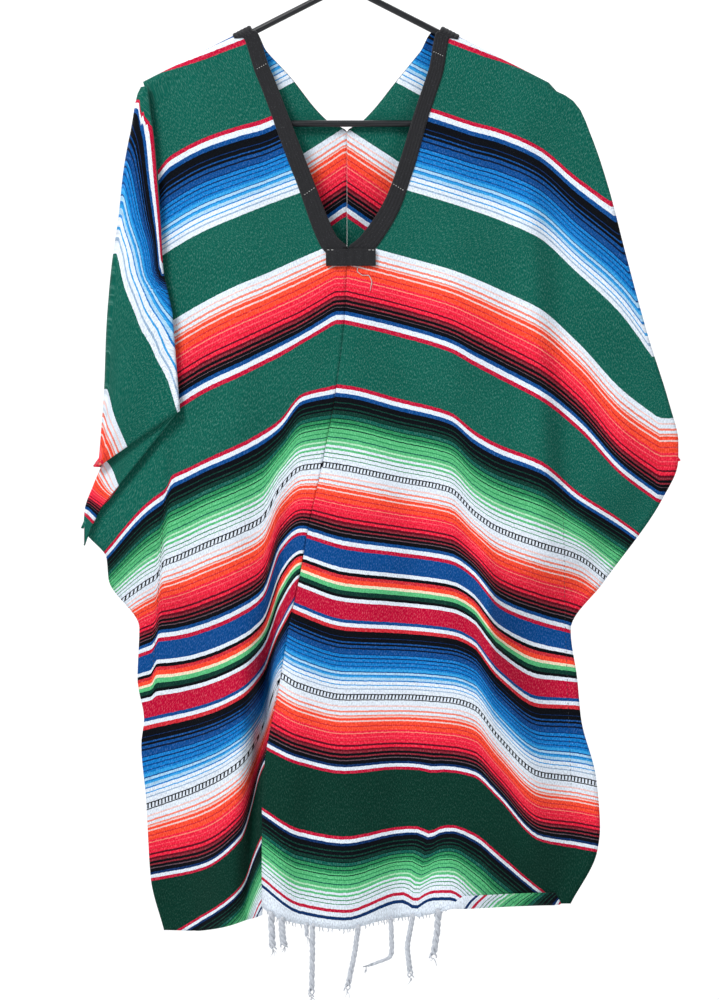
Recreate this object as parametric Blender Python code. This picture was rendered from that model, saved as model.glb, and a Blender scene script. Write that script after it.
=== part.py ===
"""A striped serape poncho hanging on a tubular hanger, built as thin cloth walls.

Lengths below are in millimetres and become metres when a mesh is made. The origin is the
inner top of the hook, where a rail carries it. +X is the viewer's right, +Z is up, and
the front of the garment faces -Y. Two lengths of cloth run over the shoulders, one on
each side, and meet at a centre front and a centre back seam. Each length is two solids,
front and back, which meet at the top of the shoulder.
"""
import math

import bmesh
import bpy
from mathutils import Vector

MM = 0.001

CLOTH = 2.0
TAPE = 1.4
GAP = 0.3
SEAM = GAP / 2 + 0.2
RIDGE_GAP = 0.7

TUBE_R = 3.5
ARM_TOP = -92.0
ARM_SLOPE = 0.51
ARM_REACH = 203.0
BAR_DROP = -238.0
HOOK_INNER_R = 22.0
HOOK_START = 195.0
HOOK_END = -40.0
HOOK_FOOT = -75.0

# The cloth bends over the arm in steps of this many degrees, and lies far enough out for
# the flats between them to clear the tube.
WRAP_STEP = 45
WRAP_MARGIN = 0.1
WRAP_R = (TUBE_R + GAP + CLOTH / 2) / math.cos(math.radians(WRAP_STEP / 2)) + WRAP_MARGIN
TAPE_WIDTH = 21.0
TAPE_CLEARANCE = 0.15
BLOCK_TOP = -371.5
BLOCK_HEIGHT = 18.0
BLOCK_WIDTH = 52.0
BLOCK_MIDDLE = 6.0
BLOCK_ROWS = 2
BLOCK_COLUMNS = 4
FRINGE_STRIP = 4.0
HEM_GAP = 1.0
STRAND = 5.0
APEX_R = 14.0
TUBE_SIDES = 10
APEX_STEPS = 4
CORNER_STEPS = 8
HOOK_STEPS = 16
HOOK_NECK_STEPS = 5

# Rows of each quarter, from the shoulder to the hem: the height of the row's inner end, on
# the neck edge or the seam, and of its outer end, on the sleeve fold or the side.
ROWS = {
    "front_right": (("shoulder", -139, -198), ("chest", -224, -300), ("yoke", -290, -450),
                    ("neck_point", -371, -555), ("sleeve_corner", -412, -594),
                    ("breast", -443, -632), ("rib", -521, -684), ("waist", -598, -728),
                    ("side_top", -667, -772), ("hip", -746, -862), ("thigh", -823, -935),
                    ("knee", -905, -1001), ("hem_band", -980, -1040), ("hem", -1061, -1061)),
    "front_left": (("shoulder", -137, -203), ("chest", -224, -310), ("yoke", -290, -430),
                   ("neck_point", -371, -540), ("flap_foot", -400, -592),
                   ("sleeve_corner", -443, -665), ("rib", -521, -700), ("waist", -598, -735),
                   ("side_top", -667, -770), ("hip", -746, -866), ("thigh", -823, -940),
                   ("knee", -905, -1010), ("hem_band", -980, -1060), ("hem", -1066, -1089)),
    "back_right": (("shoulder", -139, -198), ("neck", -185, -290), ("neck_point", -247, -420),
                   ("yoke", -300, -520), ("sleeve_corner", -345, -585),
                   ("rib", -440, -650), ("waist", -520, -710), ("side_top", -600, -772),
                   ("hip", -700, -850), ("thigh", -800, -925), ("hem_band", -900, -1005),
                   ("hem", -973, -1055)),
    "back_left": (("shoulder", -137, -203), ("neck", -185, -290), ("neck_point", -247, -410),
                  ("yoke", -300, -510), ("sleeve_corner", -345, -600),
                  ("rib", -440, -655), ("waist", -520, -710), ("side_top", -600, -770),
                  ("hip", -700, -850), ("thigh", -800, -930), ("hem_band", -900, -1020),
                  ("hem", -973, -1080)),
}
ROW_STEPS = 2
NECK_POINT = {"front_right": -371, "front_left": -371, "back_right": -247, "back_left": -247}

# Inner edges: height, distance from the middle. Above the neck point this is the neck's
# edge, and below it the centre seam, which wanders to the wearer's right on the front.
FRONT_SEAM = ((-371, 3), (-385, 2), (-436, 0), (-522, -10), (-598, -24), (-667, -39),
              (-718, -48), (-769, -59), (-823, -68), (-908, -84), (-950, -87), (-1070, -87))
INNER = {
    "front_right": ((-139, 99), (-173, 91), (-210, 79), (-238, 70), (-278, 58),
                    (-320, 42), (-360, 15)) + FRONT_SEAM,
    "front_left": ((-137, -97), (-160, -91), (-205, -81), (-238, -65), (-284, -47),
                   (-331, -26), (-360, -9)) + FRONT_SEAM,
    "back_right": ((-139, 99), (-152, 88), (-190, 57), (-234, 20), (-247, 2), (-1010, 2)),
    "back_left": ((-137, -97), (-152, -90), (-190, -57), (-234, -20), (-247, 2), (-1010, 2)),
}

# Outer edges: height, distance from the middle, for the fold of each sleeve, then the
# open selvage below it, then the side where front and back are stitched together.
OUTER = {
    "front_right": ((-198, 212), (-207, 228), (-226, 246), (-252, 259), (-310, 278),
                    (-373, 294), (-462, 318), (-536, 341), (-575, 350), (-594, 350),
                    (-635, 333), (-722, 272), (-772, 238), (-824, 245), (-866, 249),
                    (-929, 265), (-982, 269), (-1006, 266), (-1061, 238)),
    "front_left": ((-203, -210), (-240, -217), (-289, -222), (-394, -235), (-515, -241),
                   (-575, -247), (-620, -264), (-646, -273), (-665, -274), (-696, -251),
                   (-719, -249), (-770, -217), (-824, -219), (-866, -212), (-893, -215),
                   (-950, -210), (-1034, -205), (-1089, -191)),
    "back_right": ((-198, 212), (-226, 238), (-300, 266), (-373, 284), (-462, 306),
                   (-536, 328), (-585, 336), (-635, 318), (-722, 264), (-772, 238),
                   (-824, 245), (-866, 249), (-929, 263), (-1003, 262), (-1055, 236)),
    "back_left": ((-203, -210), (-226, -220), (-289, -233), (-336, -238), (-394, -246),
                  (-457, -251), (-515, -253), (-572, -257), (-600, -259), (-650, -243),
                  (-719, -226), (-770, -217), (-824, -219), (-866, -212), (-950, -210),
                  (-1034, -203), (-1080, -192)),
}
SIDE_TOP = {"front_right": -772, "front_left": -770, "back_right": -772, "back_left": -770}
CORNER = {"front_right": -594, "front_left": -665, "back_right": -585, "back_left": -600}
STITCH_MARGIN = 16.0
# The panel reaches its full depth this far in from its outer edge, and hangs free of the
# arm this far below it. A fold fades out over its own length past its ends.
SWELL_REACH = 95.0
HANG_REACH = 120.0
FOLD_FADE = 60.0
# The hem's dip fades out over this many rows above it.
HEM_ROWS = 4

# The hem's dip below the straight line between its two ends: distance from the middle,
# extra drop.
HEM = {
    "front_right": ((-87, 0), (-73, 10), (-47, 18), (0, 23), (37, 15), (89, 8), (115, 0),
                    (238, 0)),
    "front_left": ((-191, 0), (-152, -3), (-120, 2), (-100, 4), (-87, 0)),
    "back_right": ((2, 0), (70, 7), (140, -4), (200, 6), (262, 0)),
    "back_left": ((-207, 0), (-150, 8), (-90, -3), (-40, 5), (2, 0)),
}

# Depth of the cloth from the hanger's plane along the seam: height, depth.
SEAM_DEPTH = {
    "front_right": ((-139, 5), (-238, 9), (-371, 20), (-600, 34), (-800, 40), (-1070, 48)),
    "front_left": ((-137, 5), (-238, 9), (-371, 20), (-600, 34), (-800, 38), (-1070, 44)),
    "back_right": ((-139, 5), (-247, 8), (-450, 22), (-700, 32), (-1010, 40)),
    "back_left": ((-137, 5), (-247, 8), (-450, 22), (-700, 32), (-1010, 40)),
}
# Depth of the sleeve's fold, and of the selvage below it.
EDGE_DEPTH = {
    "front_right": ((-198, 5.0), (-260, 11), (-400, 19), (-594, 26), (-700, 15),
                    (-772, 1.25)),
    "front_left": ((-203, 5.0), (-260, 8), (-400, 12), (-594, 18), (-665, 20), (-720, 11),
                   (-770, 1.25)),
    "back_right": ((-198, 5.0), (-260, 11), (-400, 18), (-585, 24), (-700, 14),
                   (-772, 1.25)),
    "back_left": ((-203, 5.0), (-260, 9), (-400, 14), (-600, 19), (-700, 12), (-770, 1.25)),
}

# Soft vertical folds: the height and the place where each starts and ends, its half
# width, and how far it stands out at its start and at its end (less than 0 is a trough).
FOLDS = {
    "front_right": (
        ("seam_ridge", -560, -26, -1061, -70, 16, 0, 8),
        ("waist_tuck", -640, 140, -760, 152, 9, 0, 13),
        ("waist_drop", -760, 152, -930, 200, 16, 13, 3),
        ("shoulder_fold", -260, 192, -600, 212, 22, 4, 6),
        ("sleeve_hollow", -330, 245, -640, 262, 20, -3, -7),
        ("breast_trough", -420, 60, -760, 70, 26, -2, -6),
        ("hem_wave_in", -820, 0, -1085, 0, 26, 0, 10),
        ("hem_trough", -820, 58, -1085, 60, 20, 0, -11),
        ("hem_wave_out", -860, 105, -1070, 112, 22, 0, 9),
        ("side_trough", -840, 170, -1065, 176, 24, 0, -10),
    ),
    "front_left": (
        ("deep_valley", -585, -52, -845, -84, 10, 0, -22),
        ("deep_valley_foot", -845, -88, -1075, -104, 10, -22, -16),
        ("breast_ridge", -330, -110, -700, -125, 24, 2, 7),
        ("side_trough", -480, -170, -900, -165, 22, -2, -8),
        ("hem_wave", -780, -140, -1090, -142, 24, 0, 8),
    ),
    "back_right": (
        ("yoke_fold", -260, 100, -650, 110, 30, 2, 7),
        ("side_trough", -420, 190, -900, 180, 26, -3, -9),
        ("hem_wave_in", -560, 45, -1000, 52, 24, 0, 12),
        ("hem_trough", -600, 95, -1000, 100, 22, 0, -10),
        ("hem_wave_out", -620, 145, -1000, 150, 24, 0, 10),
    ),
    "back_left": (
        ("yoke_fold", -270, -95, -640, -100, 28, 2, 6),
        ("hem_wave_in", -560, -40, -1000, -46, 24, 0, 11),
        ("hem_trough", -600, -88, -1000, -92, 20, 0, -9),
        ("hem_wave_out", -640, -132, -1000, -136, 24, 0, 9),
        ("side_trough", -500, -170, -900, -172, 20, -3, -7),
    ),
}

# Where the layer behind each sleeve fold ends: the ridge that runs down from the
# hanger's tip, as (x, depth to the front, height), from the tip to the selvage.
RIDGE = {
    "front_right": ((208, 1.6, -250), (172, 1.6, -370), (105, 1.6, -545)),
    "back_right": ((208, -1.6, -250), (172, -1.6, -370), (105, -1.6, -545)),
    "front_left": ((-203, 16.5, -252), (-198, 19.5, -303), (-193, 27.5, -395),
                   (-183, 31, -440), (-175, 35, -543)),
    "back_left": ((-203, 20, -252), (-198, 23, -303), (-193, 31, -395),
                  (-183, 34.5, -440), (-175, 38.5, -543)),
}
# Depth of that layer where it meets the sleeve's fold. On the right it lies between the
# panels, at this share of the panel's depth. On the left it is folded out over the
# front: this much in front of the front panel, and then the back's flap over it.
LAYER_SHARE = 0.32
UNDERLAP = 7.0
FOLD_HALF = {"front_right": 2.5, "back_right": 2.5, "front_left": 3.0, "back_left": 6.0}
FLAP_BULGE = 16.0
FLAP_DEPTH = ((-203, 15.5), (-240, 18.5), (-300, 22.0), (-400, 27.0), (-600, 34.0))

SIDE = {"front_right": 1, "back_right": 1, "front_left": -1, "back_left": -1}
FACE = {"front_right": -1, "front_left": -1, "back_right": 1, "back_left": 1}

# Strands of the fringe: where each leaves the strip, and its runs down from there.
FRONT_STRANDS = (
    (-77.0, ((0.5, 0, -16), (1.0, -1, -20))),
    (-66.0, ((0.5, 0, -15), (2.0, 1, -14))),
    (-40.0, ((0, 0, -12),)),
    (-34.0, ((0, 0, -30), (-1, 1, -44))),
    (14.0, ((-4, 0, -28), (-8, -1, -38))),
    (48.0, ((1, 0, -24), (0, 0, -16), (-27, -2, -10))),
    (71.0, ((-3, 0, -16), (-3, 0, -16), (4, 0, -32))),
    (98.0, ((-2, 0, -24), (-4, 1, -24))),
)
BACK_STRANDS = (
    (-148.0, ((-1, 0, -20), (-3, 1, -26))),
    (-119.0, ((0, 0, -34), (2, 0, -30))),
    (-84.0, ((1, 0, -18), (2, 1, -16))),
    (-52.0, ((-2, 0, -26), (1, 1, -36))),
    (-17.0, ((0, 0, -22), (-3, 0, -20))),
    (20.0, ((1, 0, -30), (3, 1, -34))),
    (55.0, ((-1, 0, -18), (-1, 0, -18))),
    (90.0, ((2, 0, -26), (-1, 1, -30))),
    (128.0, ((0, 0, -20), (2, 0, -24))),
    (165.0, ((-2, 0, -28), (-2, 1, -32))),
)

# Where each fringe's strip starts and ends along its hem.
FRONT_STRIP = (-80.0, 112.0)
BACK_STRIP = (-154.0, 172.0)

SLEEVE_TOP_ROW = 0.12
PANEL_COLUMNS = 12
LAYER_COLUMNS = 5
TURN_ANGLES = (45, 90, 135)
WRAP_ANGLES = (90, WRAP_STEP)
WRAP_ROWS = (0.1, 0.2)

CLOTH_COLOUR = (0.06, 0.30, 0.24)
TAPE_COLOUR = (0.02, 0.02, 0.025)
FRINGE_COLOUR = (0.78, 0.77, 0.74)
HANGER_COLOUR = (0.015, 0.015, 0.017)


def slopes(xs, ys):
    """Slopes of a smooth curve that never overshoots its points."""
    steps = [(ys[k + 1] - ys[k]) / (xs[k + 1] - xs[k]) for k in range(len(xs) - 1)]
    inner = []
    for before, after in zip(steps, steps[1:]):
        if before * after <= 0:
            inner.append(0.0)
        else:
            inner.append(2 * before * after / (before + after))
    return [steps[0]] + inner + [steps[-1]]


def curve(table, x):
    """Value at x of a smooth curve through (x, value) pairs, flat past its ends."""
    pairs = sorted(table)
    xs = [pair[0] for pair in pairs]
    ys = [pair[1] for pair in pairs]
    if x <= xs[0]:
        return ys[0]
    if x >= xs[-1]:
        return ys[-1]
    k = max(index for index in range(len(xs) - 1) if xs[index] <= x)
    width = xs[k + 1] - xs[k]
    t = (x - xs[k]) / width
    tangents = slopes(xs, ys)
    return ((2 * t ** 3 - 3 * t ** 2 + 1) * ys[k]
            + (t ** 3 - 2 * t ** 2 + t) * width * tangents[k]
            + (3 * t ** 2 - 2 * t ** 3) * ys[k + 1]
            + (t ** 3 - t ** 2) * width * tangents[k + 1])


def smooth_step(t):
    t = min(max(t, 0.0), 1.0)
    return t * t * (3 - 2 * t)


def arm_height(x):
    return ARM_TOP - ARM_SLOPE * abs(x)


def fold_offset(name, x, z):
    """Sum of the soft folds' depth at a place on a panel."""
    total = 0.0
    for _, z0, x0, z1, x1, width, start, end in FOLDS[name]:
        t = (z0 - z) / (z0 - z1)
        if t < 0:
            fade = math.exp(-(t * (z0 - z1) / FOLD_FADE) ** 2)
        elif t > 1:
            fade = math.exp(-((t - 1) * (z0 - z1) / FOLD_FADE) ** 2)
        else:
            fade = 1.0
        along = min(max(t, 0.0), 1.0)
        centre = x0 + (x1 - x0) * along
        height = start + (end - start) * smooth_step(along)
        total += fade * height * math.exp(-((x - centre) / width) ** 2)
    return total


def panel_depth(name, x, z):
    """How far the panel's middle surface stands off the hanger's plane."""
    edge = curve(EDGE_DEPTH[name], z)
    full = curve(SEAM_DEPTH[name], z)
    reach = abs(curve(OUTER[name], z) - x)
    closing = smooth_step((CORNER[name] - z) / (CORNER[name] - SIDE_TOP[name]))
    margin = STITCH_MARGIN * closing
    open_share = smooth_step((reach - margin) / SWELL_REACH)
    depth = edge + (full - edge) * open_share + fold_offset(name, x, z) * open_share
    hung = smooth_step((arm_height(x) - z) / HANG_REACH)
    return WRAP_R + (depth - WRAP_R) * hung


def row_ends(name, row):
    """Heights of a row's inner and outer ends, for a row number that may be a fraction."""
    table = ROWS[name]
    k = min(int(row), len(table) - 2)
    t = row - k
    _, inner0, outer0 = table[k]
    _, inner1, outer1 = table[k + 1]
    return inner0 + (inner1 - inner0) * t, outer0 + (outer1 - outer0) * t


def panel_point(name, row, share):
    """A point of the panel's middle surface. share runs from the inner edge to the outer."""
    inner_z, outer_z = row_ends(name, row)
    last = len(ROWS[name]) - 1
    inner_x = curve(INNER[name], inner_z)
    seam = 0.0 if inner_z > NECK_POINT[name] else SEAM * SIDE[name]
    turn_half = FOLD_HALF[name] if outer_z > CORNER[name] + 1 else 0.0
    outer_x = curve(OUTER[name], outer_z) - turn_half * SIDE[name]
    x = inner_x + seam + (outer_x - inner_x - seam) * share
    z = inner_z + (outer_z - inner_z) * share
    z -= curve(HEM[name], x) * smooth_step((row - last + HEM_ROWS) / HEM_ROWS)
    if row == 0:
        z = arm_height(x)
    return Vector((x, FACE[name] * panel_depth(name, x, z), z))


def wrap_point(name, share, angle):
    """A point where the cloth bends over the hanger's arm, angle from level to upright."""
    base = panel_point(name, 0, share)
    lift = WRAP_R * math.sin(math.radians(angle))
    out = WRAP_R * math.cos(math.radians(angle))
    tilt = math.atan(ARM_SLOPE)
    return Vector((base.x + SIDE[name] * lift * math.sin(tilt),
                   FACE[name] * max(out, RIDGE_GAP),
                   base.z + lift * math.cos(tilt)))


def row_numbers(name):
    count = (len(ROWS[name]) - 1) * ROW_STEPS
    numbers = [k / ROW_STEPS for k in range(count + 1)]
    return numbers[:1] + [SLEEVE_TOP_ROW] + numbers[1:]


def corner_row(name):
    names = [row[0] for row in ROWS[name]]
    return names.index("sleeve_corner")


def polyline(points, share):
    """A point a share of the way along a run of points, by length."""
    lengths = [(b - a).length for a, b in zip(points, points[1:])]
    left = share * sum(lengths)
    for a, b, length in zip(points, points[1:], lengths):
        if left <= length:
            return a.lerp(b, left / length)
        left -= length
    return points[-1]


def layer_depth(name, row):
    """Depth to the front of the layer behind the sleeve fold, where it meets the fold."""
    _, outer_z = row_ends(name, row)
    panel = curve(EDGE_DEPTH[name], outer_z)
    if name == "back_left":
        return curve(FLAP_DEPTH, outer_z)
    if name == "front_left":
        return panel + UNDERLAP
    return -FACE[name] * panel * LAYER_SHARE


def turn_point(name, row, angle):
    """A point of the sleeve's fold, from the panel round to the layer."""
    edge = panel_point(name, row, 1.0)
    half = FOLD_HALF[name]
    far = -layer_depth(name, row)
    middle = (edge.y + far) / 2
    turn = math.radians(angle)
    return Vector((edge.x + SIDE[name] * half * math.sin(turn),
                   middle + (edge.y - far) / 2 * math.cos(turn), edge.z))


def layer_point(name, row, first_row, share):
    """A point of the layer that runs from the sleeve's fold to the ridge and selvage."""
    last = corner_row(name)
    ridge = [Vector((x, -depth, z)) for x, depth, z in RIDGE[name]]
    start = turn_point(name, row, 180)
    top = turn_point(name, first_row, 180)
    foot = turn_point(name, last, 180)
    along = (row - first_row) / (last - first_row)
    selvage = ridge[-1].lerp(foot, along)
    chord = start.lerp(selvage, share)
    bend = polyline([top] + ridge, share) - top.lerp(ridge[-1], share)
    point = chord + bend * (1 - along)
    if name == "back_left":
        point.y -= FLAP_BULGE * math.sin(math.pi * share) * along * (1 - along) ** 0.5
    return point


def sheet_object(name, columns, colour, thickness):
    """A closed wall from rows of points, each row a list that may hold None past its end."""
    mesh_maker = bmesh.new()
    made = {}
    verts = []
    for row in columns:
        line = []
        for point in row:
            if point is None:
                line.append(None)
                continue
            key = tuple(round(value, 4) for value in point)
            if key not in made:
                made[key] = mesh_maker.verts.new(point * MM)
            line.append(made[key])
        verts.append(line)
    for upper, lower in zip(verts, verts[1:]):
        for k in range(min(len(upper), len(lower)) - 1):
            ring = []
            for vert in (upper[k], lower[k], lower[k + 1], upper[k + 1]):
                if vert is not None and vert not in ring:
                    ring.append(vert)
            if None in (upper[k], lower[k], lower[k + 1], upper[k + 1]) or len(ring) < 3:
                continue
            mesh_maker.faces.new(ring)
    mesh = bpy.data.meshes.new(name)
    mesh_maker.to_mesh(mesh)
    mesh_maker.free()
    obj = bpy.data.objects.new(name, mesh)
    bpy.context.scene.collection.objects.link(obj)
    wall = obj.modifiers.new("wall", "SOLIDIFY")
    wall.thickness = thickness * MM
    wall.offset = 0.0
    mesh.materials.append(colour)
    return obj


def material(name, colour, roughness):
    made = bpy.data.materials.new(name)
    made.use_nodes = True
    shader = made.node_tree.nodes["Principled BSDF"]
    shader.inputs["Base Color"].default_value = (*colour, 1.0)
    shader.inputs["Roughness"].default_value = roughness
    shader.inputs["Metallic"].default_value = 0.0
    return made


def cloth_quarter(name, cloth):
    """One panel with the layer behind its sleeve fold, as one wall."""
    shares = [k / PANEL_COLUMNS for k in range(PANEL_COLUMNS + 1)]
    rows = [[wrap_point(name, share, angle) for share in shares] for angle in WRAP_ANGLES]
    numbers = row_numbers(name)
    first_row = numbers[1]
    for row in numbers:
        line = [panel_point(name, row, share) for share in shares]
        if first_row <= row <= corner_row(name):
            line += [turn_point(name, row, angle) for angle in TURN_ANGLES]
            line += [layer_point(name, row, first_row, k / LAYER_COLUMNS)
                     for k in range(LAYER_COLUMNS + 1)]
        rows.append(line)
    return sheet_object(name, rows, cloth, CLOTH)


def tape_row(front, back, row, share):
    """The cloth's own points under the neck tape, run over the shoulder as one strip."""
    name = front if row <= 0 else back
    number = abs(row)
    if number <= WRAP_ROWS[-1]:
        edge = wrap_point(name, 0.0, 90)
        far = wrap_point(name, 1.0, 90)
    else:
        edge = panel_point(name, number, 0.0)
        far = panel_point(name, number, 1.0)
    along = share * TAPE_WIDTH / (far - edge).length
    if number == 0:
        point = wrap_point(name, along, 90)
        point.y = 0.0
        return point
    if number == WRAP_ROWS[0]:
        return wrap_point(name, along, WRAP_STEP)
    if number == WRAP_ROWS[1]:
        number = 0
    column = min(int(along * PANEL_COLUMNS), PANEL_COLUMNS - 1)
    low = panel_point(name, number, column / PANEL_COLUMNS)
    high = panel_point(name, number, (column + 1) / PANEL_COLUMNS)
    return low.lerp(high, along * PANEL_COLUMNS - column)


def moved_out(rows, offset):
    """A grid of points moved along its own normals."""
    moved = []
    for i, row in enumerate(rows):
        line = []
        for j, point in enumerate(row):
            down = rows[min(i + 1, len(rows) - 1)][j] - rows[max(i - 1, 0)][j]
            across = row[min(j + 1, len(row) - 1)] - row[max(j - 1, 0)]
            line.append(point + down.cross(across).normalized() * offset)
        moved.append(line)
    return moved


def neck_tape(side, tape):
    """Ribbed tape from the foot of the V over the shoulder to the middle of the back."""
    front = "front_" + side
    back = "back_" + side
    front_end = [row[0] for row in ROWS[front]].index("neck_point")
    back_end = [row[0] for row in ROWS[back]].index("neck_point")
    steps = ROW_STEPS
    numbers = [-k / steps for k in range(steps * front_end, 0, -1)]
    numbers += [-WRAP_ROWS[1], -WRAP_ROWS[0], 0.0, WRAP_ROWS[0], WRAP_ROWS[1]]
    numbers += [(k + 1) / steps for k in range(steps * back_end)]
    shares = (0.0, 0.5, 1.0)
    rows = [[tape_row(front, back, row, share) for share in shares] for row in numbers]
    outward = (CLOTH + TAPE) / 2 + GAP + TAPE_CLEARANCE
    return sheet_object("neck_tape_" + side, moved_out(rows, outward * -SIDE[front]),
                        tape, TAPE)


def front_point(x, z):
    """The front's middle surface at a place in the picture's plane."""
    name = "front_right" if x > curve(FRONT_SEAM, z) else "front_left"
    return Vector((x, -panel_depth(name, x, z), z))


def tape_block(tape):
    """The squared end below the V, over the lower ends of the two tapes."""
    rows = []
    for i in range(BLOCK_ROWS + 1):
        z = BLOCK_TOP - BLOCK_HEIGHT * i / BLOCK_ROWS
        rows.append([front_point(BLOCK_MIDDLE + BLOCK_WIDTH * (j / BLOCK_COLUMNS - 0.5), z)
                     for j in range(BLOCK_COLUMNS + 1)])
    outward = (CLOTH + TAPE) / 2 + TAPE + 2 * (GAP + TAPE_CLEARANCE)
    return sheet_object("neck_tape_block", moved_out(rows, outward), tape, TAPE)


def hem_point(name, x):
    """A point on a quarter's hem at a distance from the middle."""
    last = len(ROWS[name]) - 1
    low, high = 0.0, 1.0
    for _ in range(30):
        share = (low + high) / 2
        if abs(panel_point(name, last, share).x - x) < 0.01:
            break
        if (panel_point(name, last, share).x - x) * SIDE[name] < 0:
            low = share
        else:
            high = share
    column = min(int(share * PANEL_COLUMNS), PANEL_COLUMNS - 1)
    start = panel_point(name, last, column / PANEL_COLUMNS)
    end = panel_point(name, last, (column + 1) / PANEL_COLUMNS)
    return start.lerp(end, share * PANEL_COLUMNS - column)


def fringe(name, quarters, x_start, x_end, strands, colour):
    """A narrow strip below the hem, with its strands drawn out of its underside."""
    edges = [x + side * STRAND / 2 for x, _ in strands for side in (-1, 1)]
    columns = [panel_point(quarter, len(ROWS[quarter]) - 1, k / PANEL_COLUMNS).x
               for quarter in quarters for k in range(PANEL_COLUMNS + 1)]
    stops = sorted([x_start, x_end] + edges
                   + [x for x in columns if x_start + 1 < x < x_end - 1
                      and all(abs(x - place) > STRAND / 2 + 1 for place, _ in strands)])
    roots = {round(x - STRAND / 2, 3): (x, shape) for x, shape in strands}
    maker = bmesh.new()
    rings = []
    for x in stops:
        quarter = quarters[0] if x < 0 else quarters[-1]
        base = hem_point(quarter, x)
        ring = []
        for out, drop in ((-1, 0), (-1, 1), (1, 1), (1, 0)):
            ring.append(maker.verts.new(Vector((x, base.y + out * CLOTH / 2,
                                                base.z - HEM_GAP - drop * FRINGE_STRIP)) * MM))
        rings.append(ring)
    maker.faces.new(rings[0])
    maker.faces.new(list(reversed(rings[-1])))
    for x, a, b in zip(stops, rings, rings[1:]):
        for i, j in ((0, 1), (2, 3), (3, 0)):
            maker.faces.new((a[j], a[i], b[i], b[j]))
        if round(x, 3) not in roots:
            maker.faces.new((a[2], a[1], b[1], b[2]))
            continue
        _, shape = roots[round(x, 3)]
        ring = [a[1], b[1], b[2], a[2]]
        for dx, dy, dz in shape:
            below = [maker.verts.new(vert.co + Vector((dx, dy, dz)) * MM) for vert in ring]
            for i in range(4):
                maker.faces.new((ring[i], below[i], below[(i + 1) % 4], ring[(i + 1) % 4]))
            ring = below
        maker.faces.new(ring)
    bmesh.ops.recalc_face_normals(maker, faces=maker.faces)
    mesh = bpy.data.meshes.new(name)
    maker.to_mesh(mesh)
    maker.free()
    mesh.materials.append(colour)
    obj = bpy.data.objects.new(name, mesh)
    bpy.context.scene.collection.objects.link(obj)
    return obj


def tube(name, path, radius, closed, colour):
    """A round bar along a path in the hanger's plane, of (x, z) points."""
    maker = bmesh.new()
    count = len(path)
    rings = []
    for k, (x, z) in enumerate(path):
        before = path[k - 1] if closed or k > 0 else path[k]
        after = path[(k + 1) % count] if closed or k < count - 1 else path[k]
        run = math.atan2(after[1] - before[1], after[0] - before[0])
        ring = []
        for side in range(TUBE_SIDES):
            turn = 2 * math.pi * side / TUBE_SIDES
            ring.append(maker.verts.new(Vector((
                x - math.sin(run) * radius * math.cos(turn),
                radius * math.sin(turn),
                z + math.cos(run) * radius * math.cos(turn))) * MM))
        rings.append(ring)
    pairs = list(zip(rings, rings[1:]))
    if closed:
        pairs.append((rings[-1], rings[0]))
    else:
        maker.faces.new(rings[0])
        maker.faces.new(list(reversed(rings[-1])))
    for a, b in pairs:
        for i in range(TUBE_SIDES):
            j = (i + 1) % TUBE_SIDES
            maker.faces.new((a[i], a[j], b[j], b[i]))
    bmesh.ops.recalc_face_normals(maker, faces=maker.faces)
    mesh = bpy.data.meshes.new(name)
    maker.to_mesh(mesh)
    maker.free()
    mesh.materials.append(colour)
    mesh.shade_smooth()
    obj = bpy.data.objects.new(name, mesh)
    bpy.context.scene.collection.objects.link(obj)
    return obj


def arc(cx, cz, radius, start, end, steps):
    """Points on an arc, angles in degrees from +X towards +Z."""
    points = []
    for k in range(steps + 1):
        angle = math.radians(start + (end - start) * k / steps)
        points.append((cx + radius * math.cos(angle), cz + radius * math.sin(angle)))
    return points


def hanger(colour):
    """The hanger's loop of two arms and a bar, and the hook that stands on its top."""
    tilt = math.degrees(math.atan(ARM_SLOPE))
    arm_drop = ARM_TOP - BAR_DROP - ARM_SLOPE * ARM_REACH
    corner_r = arm_drop / (1 + 1 / math.cos(math.radians(tilt)) - ARM_SLOPE)
    right = arc(ARM_REACH - corner_r, BAR_DROP + corner_r, corner_r, 90 - tilt, -90,
                CORNER_STEPS)
    left = [(-x, z) for x, z in reversed(right)]
    top = arc(0, ARM_TOP - APEX_R / math.cos(math.radians(tilt)), APEX_R, 90 + tilt, 90 - tilt,
              APEX_STEPS)
    tube("hanger_frame", top + right + left, TUBE_R, True, colour)
    hook_r = HOOK_INNER_R + TUBE_R
    bend = arc(0, -HOOK_INNER_R, hook_r, HOOK_START, HOOK_END, HOOK_STEPS)
    end_x, end_z = bend[-1]
    control_z = end_z - end_x / math.tan(math.radians(-HOOK_END))
    neck = []
    for k in range(1, HOOK_NECK_STEPS + 1):
        t = k / HOOK_NECK_STEPS
        neck.append((end_x * (1 - t) ** 2,
                     end_z * (1 - t) ** 2 + 2 * control_z * t * (1 - t) + HOOK_FOOT * t * t))
    foot = top[APEX_STEPS // 2][1] + TUBE_R + GAP
    tube("hanger_hook", bend + neck + [(0.0, foot)], TUBE_R, False, colour)


def remove_startup_objects():
    for obj in list(bpy.data.objects):
        bpy.data.objects.remove(obj)


def main():
    remove_startup_objects()
    cloth = material("cloth", CLOTH_COLOUR, 0.85)
    tape = material("tape", TAPE_COLOUR, 0.7)
    yarn = material("yarn", FRINGE_COLOUR, 0.9)
    plastic = material("plastic", HANGER_COLOUR, 0.4)
    for name in ROWS:
        cloth_quarter(name, cloth)
    for side in ("left", "right"):
        neck_tape(side, tape)
    tape_block(tape)
    fringe("fringe_front", ("front_right",), *FRONT_STRIP, FRONT_STRANDS, yarn)
    fringe("fringe_back", ("back_left", "back_right"), *BACK_STRIP, BACK_STRANDS, yarn)
    hanger(plastic)


main()
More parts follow.
